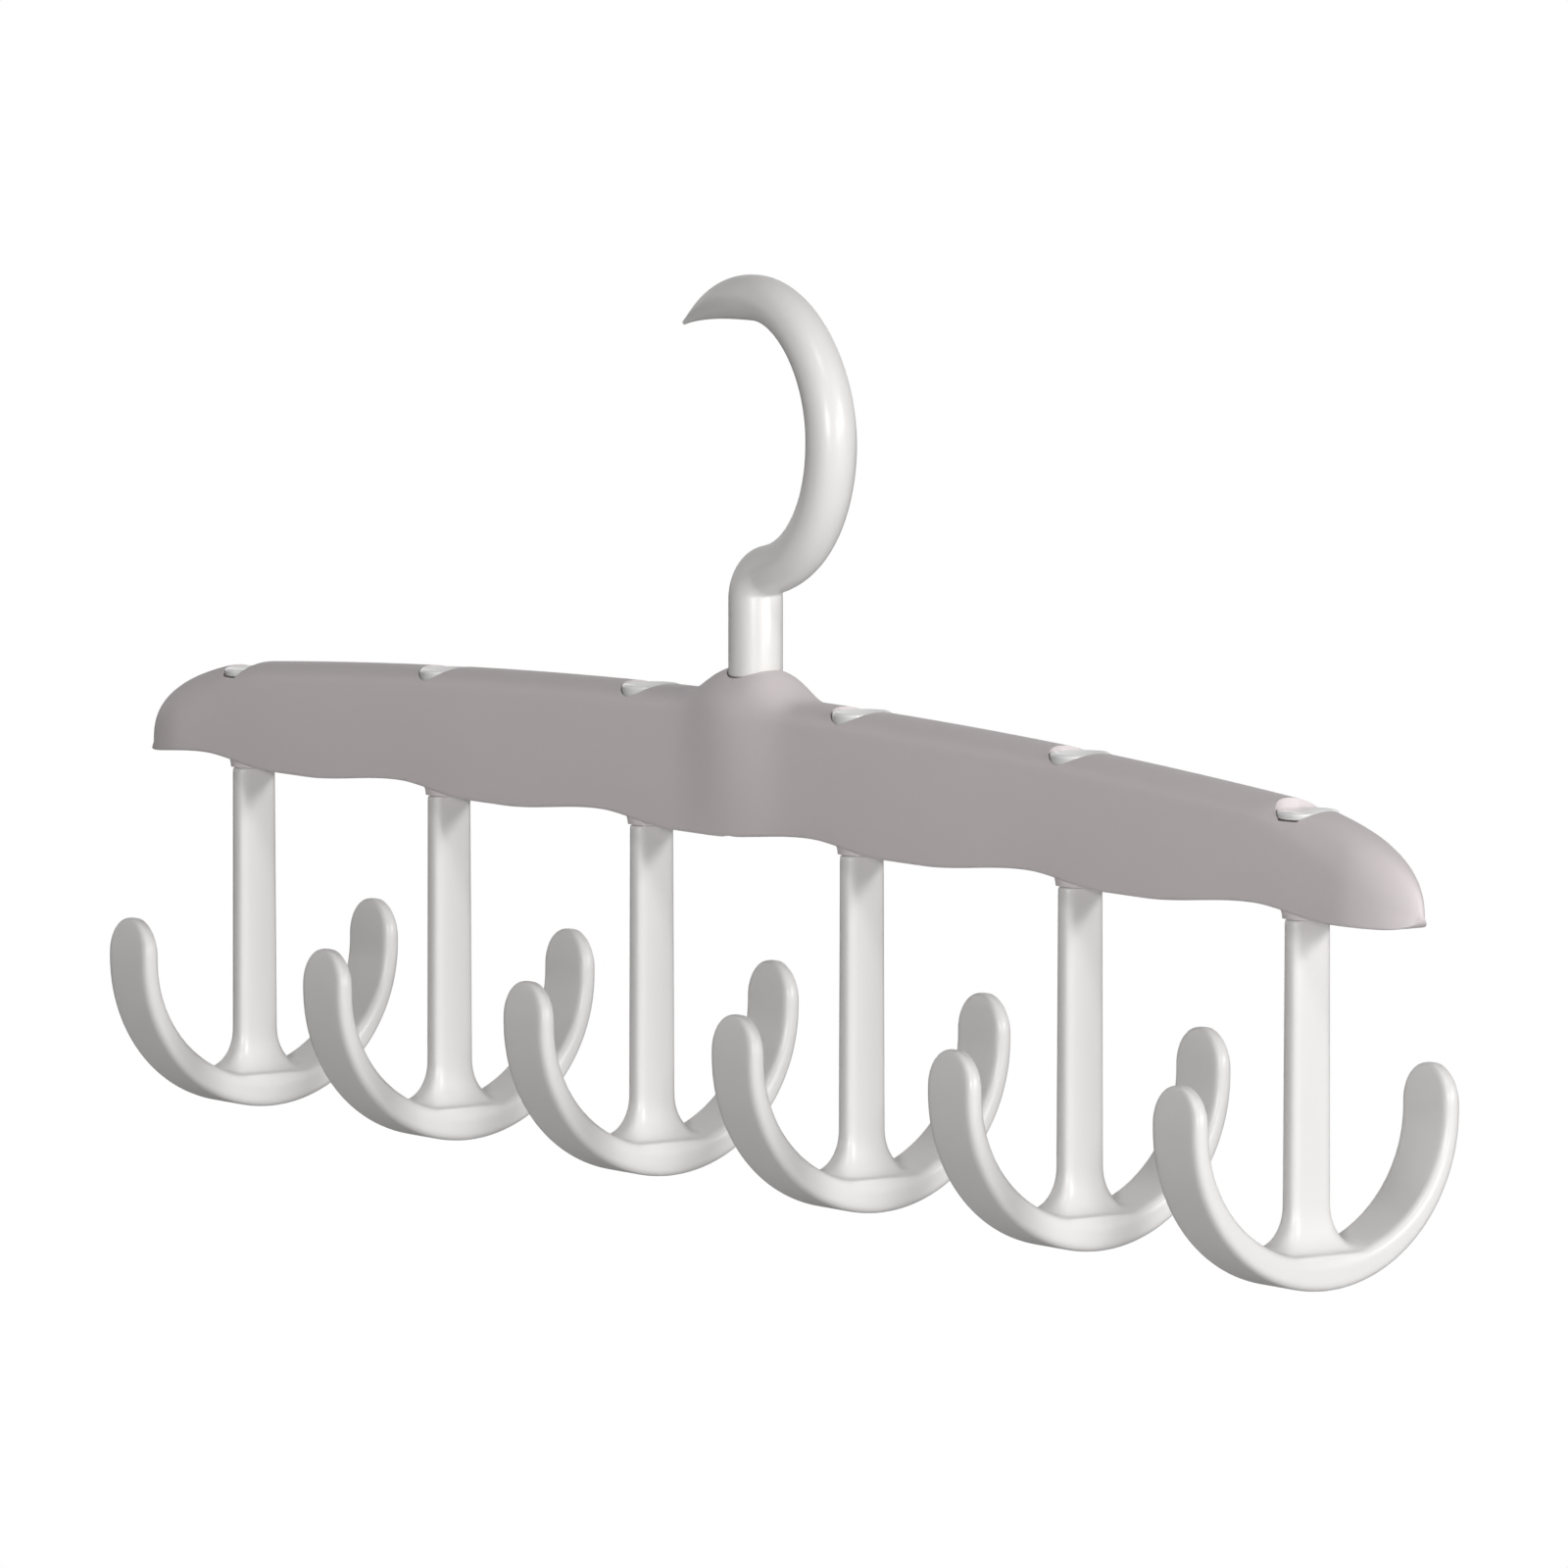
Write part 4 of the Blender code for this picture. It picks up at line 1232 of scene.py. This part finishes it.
def moulded_plastic(name, light_tint, dark_tint, roughness, wave_height, polish=0.0):
    """Satin plastic with drifting tint, patchy gloss and fine waves, and polished where it says so."""
    finish = Finish(name)
    drift = finish.noise(DRIFT_SCALE)
    tint = finish.node("ShaderNodeMix", {"data_type": "RGBA"},
                       {"Factor": drift, "A": dark_tint, "B": light_tint})
    finish.feed(finish.shader.inputs["Base Color"], tint.outputs["Result"])
    patches = finish.noise(PATCH_SCALE)
    finish.feed(finish.shader.inputs["Roughness"], roughness + (patches - NOISE_MEAN) * PATCH_SPREAD)
    waves = finish.noise(WAVES_SCALE) * (1 - GRAIN_SHARE) + finish.noise(GRAIN_SCALE) * GRAIN_SHARE
    bump = finish.node("ShaderNodeBump", {},
                       {"Height": waves, "Distance": wave_height, "Strength": BUMP_STRENGTH})
    finish.feed(finish.shader.inputs["Normal"], bump.outputs["Normal"])
    finish.set_constant(IOR=PLASTIC_IOR, Coat_Weight=polish)
    print("made", name)
    return finish.material


print("the finish of moulded plastic is ready to be mixed")

# %% [markdown]
# Three mixes are needed. The double hooks and the main hook are warm white and glossy. The bar is the same
# white plastic but duller, and its tint is set darker and slightly pinkish as painted shade for its front
# face. The caps are polished, and their tint is set whiter than the hooks' as a painted highlight for the
# glint in each seat.

# %% Three mixes
WARM_WHITE = (0.88, 0.865, 0.85, 1)
WARM_WHITE_DEEP = (0.85, 0.832, 0.815, 1)
# painted shade: the bar is the same white plastic as the hooks, and these two tints are set darker and
# pinker to paint in the shade on its front face
BAR_WHITE_WITH_PAINTED_SHADE = (0.80, 0.735, 0.745, 1)
BAR_WHITE_DEEP_WITH_PAINTED_SHADE = (0.765, 0.70, 0.705, 1)
# partly painted highlight: the caps are white plastic, and these tints are set whiter than the hooks' white
# to brighten the glint in each seat
CAP_WHITE_WITH_PAINTED_HIGHLIGHT = (0.92, 0.915, 0.91, 1)
CAP_WHITE_DEEP_WITH_PAINTED_HIGHLIGHT = (0.89, 0.885, 0.88, 1)
HOOK_GLOSS = (0.32, 0.00006)        # roughness and height of the waves in metres
BAR_GLOSS = (0.52, 0.00008)
CAP_GLOSS = (0.26, 0.00004)
hook_plastic = moulded_plastic("hook_plastic_finish", WARM_WHITE, WARM_WHITE_DEEP, *HOOK_GLOSS)
bar_plastic = moulded_plastic("bar_plastic_finish", BAR_WHITE_WITH_PAINTED_SHADE, BAR_WHITE_DEEP_WITH_PAINTED_SHADE, *BAR_GLOSS)
cap_plastic = moulded_plastic("cap_plastic_finish", CAP_WHITE_WITH_PAINTED_HIGHLIGHT, CAP_WHITE_DEEP_WITH_PAINTED_HIGHLIGHT, *CAP_GLOSS, polish=1.0)

# %% [markdown]
# ## Nylon and spring steel
# The washer is natural nylon, which is duller than the moulded plastic, a little yellow, and uneven where
# it has taken up moisture. One noise mixes two tints and a finer one changes the gloss.

# %% Natural nylon
NYLON_PALE = (0.86, 0.85, 0.80, 1)
NYLON_DEEP = (0.80, 0.79, 0.73, 1)
NYLON_TINT_SCALE = 300.0
NYLON_GLOSS_SCALE = 900.0
NYLON_LEAST_ROUGHNESS = 0.42
NYLON_SPREAD = 0.15
nylon = Finish("washer_nylon_finish")
nylon_tint = nylon.node("ShaderNodeMix", {"data_type": "RGBA"}, {
    "Factor": nylon.noise(NYLON_TINT_SCALE), "A": NYLON_DEEP, "B": NYLON_PALE,
})
nylon.feed(nylon.shader.inputs["Base Color"], nylon_tint.outputs["Result"])
nylon_gloss = NYLON_LEAST_ROUGHNESS + nylon.noise(NYLON_GLOSS_SCALE) * NYLON_SPREAD
nylon.feed(nylon.shader.inputs["Roughness"], nylon_gloss)
print("made", nylon.material.name)

# %% [markdown]
# The clip is spring steel with faint turning marks round its axis. So its noise is stretched flat: it
# changes slowly along X and Y and fast along Z, and it drives the tint and the gloss together.

# %% Spring steel
STEEL_PALE = (0.64, 0.64, 0.65, 1)
STEEL_DEEP = (0.50, 0.50, 0.51, 1)
STEEL_LEAST_ROUGHNESS = 0.2
STEEL_SPREAD = 0.2
TURNING_MARKS = (200.0, 200.0, 6000.0)      # features to a metre along X, Y and Z
steel = Finish("clip_steel_finish")
stretched = steel.node("ShaderNodeMapping", {}, {"Vector": steel.place, "Scale": TURNING_MARKS})
marks = steel.node("ShaderNodeTexNoise", {}, {"Vector": stretched.outputs["Vector"], "Scale": 1.0})
mark = Reading(steel.tree, marks.outputs["Fac"])
steel_tint = steel.node("ShaderNodeMix", {"data_type": "RGBA"}, {
    "Factor": mark, "A": STEEL_DEEP, "B": STEEL_PALE,
})
steel.feed(steel.shader.inputs["Base Color"], steel_tint.outputs["Result"])
steel.feed(steel.shader.inputs["Roughness"], STEEL_LEAST_ROUGHNESS + mark * STEEL_SPREAD)
steel.set_constant(Metallic=1.0)
print("made", steel.material.name)

# %% [markdown]
# A new piece gets its finish as its only material. The washer and the clip are nodes of the jointed model,
# and there the finish goes into the slots that they already have.

# %% Dress the pieces
def dress(piece, material):
    """Give every face of a piece one material."""
    piece.data.materials.clear()
    piece.data.materials.append(material)


dress(hook_rod, hook_plastic)
dress(bar, bar_plastic)
for hook in double_hooks:
    dress(hook, hook_plastic)
for cap in caps:
    dress(cap, cap_plastic)
for name, finish in (("swivel_washer", nylon), ("retaining_clip", steel)):
    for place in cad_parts[name].material_slots:
        place.material = finish.material
print("all pieces are dressed")

# %% [markdown]
# ## Who rides on what
# The jointed model knows eight bodies: the main hook, the bar, and six double hooks with their caps. Each
# new piece rides on the body that it belongs to and stands for its plain node.

# %% Ride on the bodies
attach(hook_rod, "top_hook")
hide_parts("main_hook")
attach(bar, "beam")
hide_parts("beam")
for number, (hook, cap) in enumerate(zip(double_hooks, caps), start=1):
    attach(hook, f"hook_{number}")
    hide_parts(f"double_hook_{number}")
    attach(cap, f"hook_{number}")
    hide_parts(f"pin_cap_{number}")
print("every piece rides on its body")

# %% [markdown]
# ## Light
# The picture is lit from the right. Surfaces that face right are nearly white, the front is a mid grey,
# and the bar throws a soft slanting shadow on the stems. Four round soft boxes do this: one near the
# camera for the front, one off the right end, the strongest a little behind that end, and a high one for
# the upper faces. They stand far off, so that both ends of the bar get the same light, and their power
# is plain, so that white plastic stays just below white.

# %% Four soft boxes
BOX_DISTANCE = 6.0
BOX_SIZE = 0.85


def soft_box(name, turn, rise, power):
    """A round area lamp that looks at the hanger."""
    lamp = bpy.data.lights.new(name, "AREA")
    lamp.shape = "DISK"
    lamp.size = BOX_SIZE
    lamp.energy = power
    holder = bpy.data.objects.new(name, lamp)
    bpy.context.scene.collection.objects.link(holder)
    holder.location = station(radians(turn), radians(rise), BOX_DISTANCE)
    face_hanger(holder)


# turn and rise in degrees, power in watts
SOFT_BOXES = {
    "near_box": (42, 10, 121),
    "end_box": (87, 8, 66),
    "back_box": (108, 16, 116),
    "high_box": (57, 50, 48),
}
for name, (turn, rise, power) in SOFT_BOXES.items():
    soft_box(name, turn, rise, power)
print("soft boxes:", list(SOFT_BOXES))

# %% [markdown]
# ## White surroundings
# The hanger hangs in front of plain white. The camera sees the world as pure white, and so do glossy
# and see-through surfaces, as in a room with white walls. All other light comes from the soft boxes.

# %% White world
PURE_WHITE = (1, 1, 1, 1)
world = bpy.data.worlds.new("white_room")
bpy.context.scene.world = world
world.use_nodes = True
tree = world.node_tree
path = tree.nodes.new("ShaderNodeLightPath")
seen = Reading(tree, path.outputs["Is Camera Ray"])
through = Reading(tree, path.outputs["Is Transmission Ray"])
mirrored = Reading(tree, path.outputs["Is Glossy Ray"])
whiteness = seen.maths("MAXIMUM", seen.maths("MAXIMUM", seen, through), mirrored)
tree.links.new(whiteness.socket, tree.nodes["Background"].inputs["Strength"])
tree.nodes["Background"].inputs["Color"].default_value = PURE_WHITE
print("the world is", world.name)

# %% [markdown]
# A pale floor far below keeps the hanger's shadow. Near the middle it shows its shading, and further out
# it turns white for the camera, as a lit backdrop does. It belongs to the stage and not to the hanger.

# %% Floor
FLOOR_Z = -0.70
FLOOR_SIZE = 60.0
FLOOR_CLEAR_START = 0.5     # radius within which the floor shows all of its shadow
FLOOR_CLEAR_END = 2.2
FLOOR_CLEAR_SHARE = 0.72    # how white the floor looks below the hanger
FLOOR_TINT = (0.72, 0.72, 0.72, 1)
FLOOR_ROUGHNESS = 0.9
lay_down_tools()
bpy.ops.mesh.primitive_plane_add(size=FLOOR_SIZE, location=(0, 0, FLOOR_Z))
floor = open_piece("floor")
bpy.ops.object.mode_set(mode="OBJECT")
backdrop = Finish("floor_finish")
backdrop.set_constant(Base_Color=FLOOR_TINT, Roughness=FLOOR_ROUGHNESS)
reach = backdrop.node("ShaderNodeVectorMath", {"operation": "LENGTH"}, {0: backdrop.place})
fade = backdrop.node("ShaderNodeMapRange", {"interpolation_type": "SMOOTHSTEP"}, {
    "Value": reach.outputs["Value"], "From Min": FLOOR_CLEAR_START + abs(FLOOR_Z),
    "From Max": FLOOR_CLEAR_END + abs(FLOOR_Z), "To Min": FLOOR_CLEAR_SHARE, "To Max": 1.0,
})
floor_path = backdrop.node("ShaderNodeLightPath", {}, {})
to_camera = Reading(backdrop.tree, floor_path.outputs["Is Camera Ray"])
white_share = Reading(backdrop.tree, fade.outputs["Result"]) * to_camera
glow = backdrop.node("ShaderNodeEmission", {}, {"Color": PURE_WHITE, "Strength": 1.0})
mixed = backdrop.node("ShaderNodeMixShader", {}, {
    "Fac": white_share, 1: backdrop.shader.outputs["BSDF"], 2: glow.outputs["Emission"],
})
backdrop.tree.links.new(mixed.outputs["Shader"], backdrop.tree.nodes["Material Output"].inputs["Surface"])
dress(floor, backdrop.material)
print("the floor lies at", FLOOR_Z)
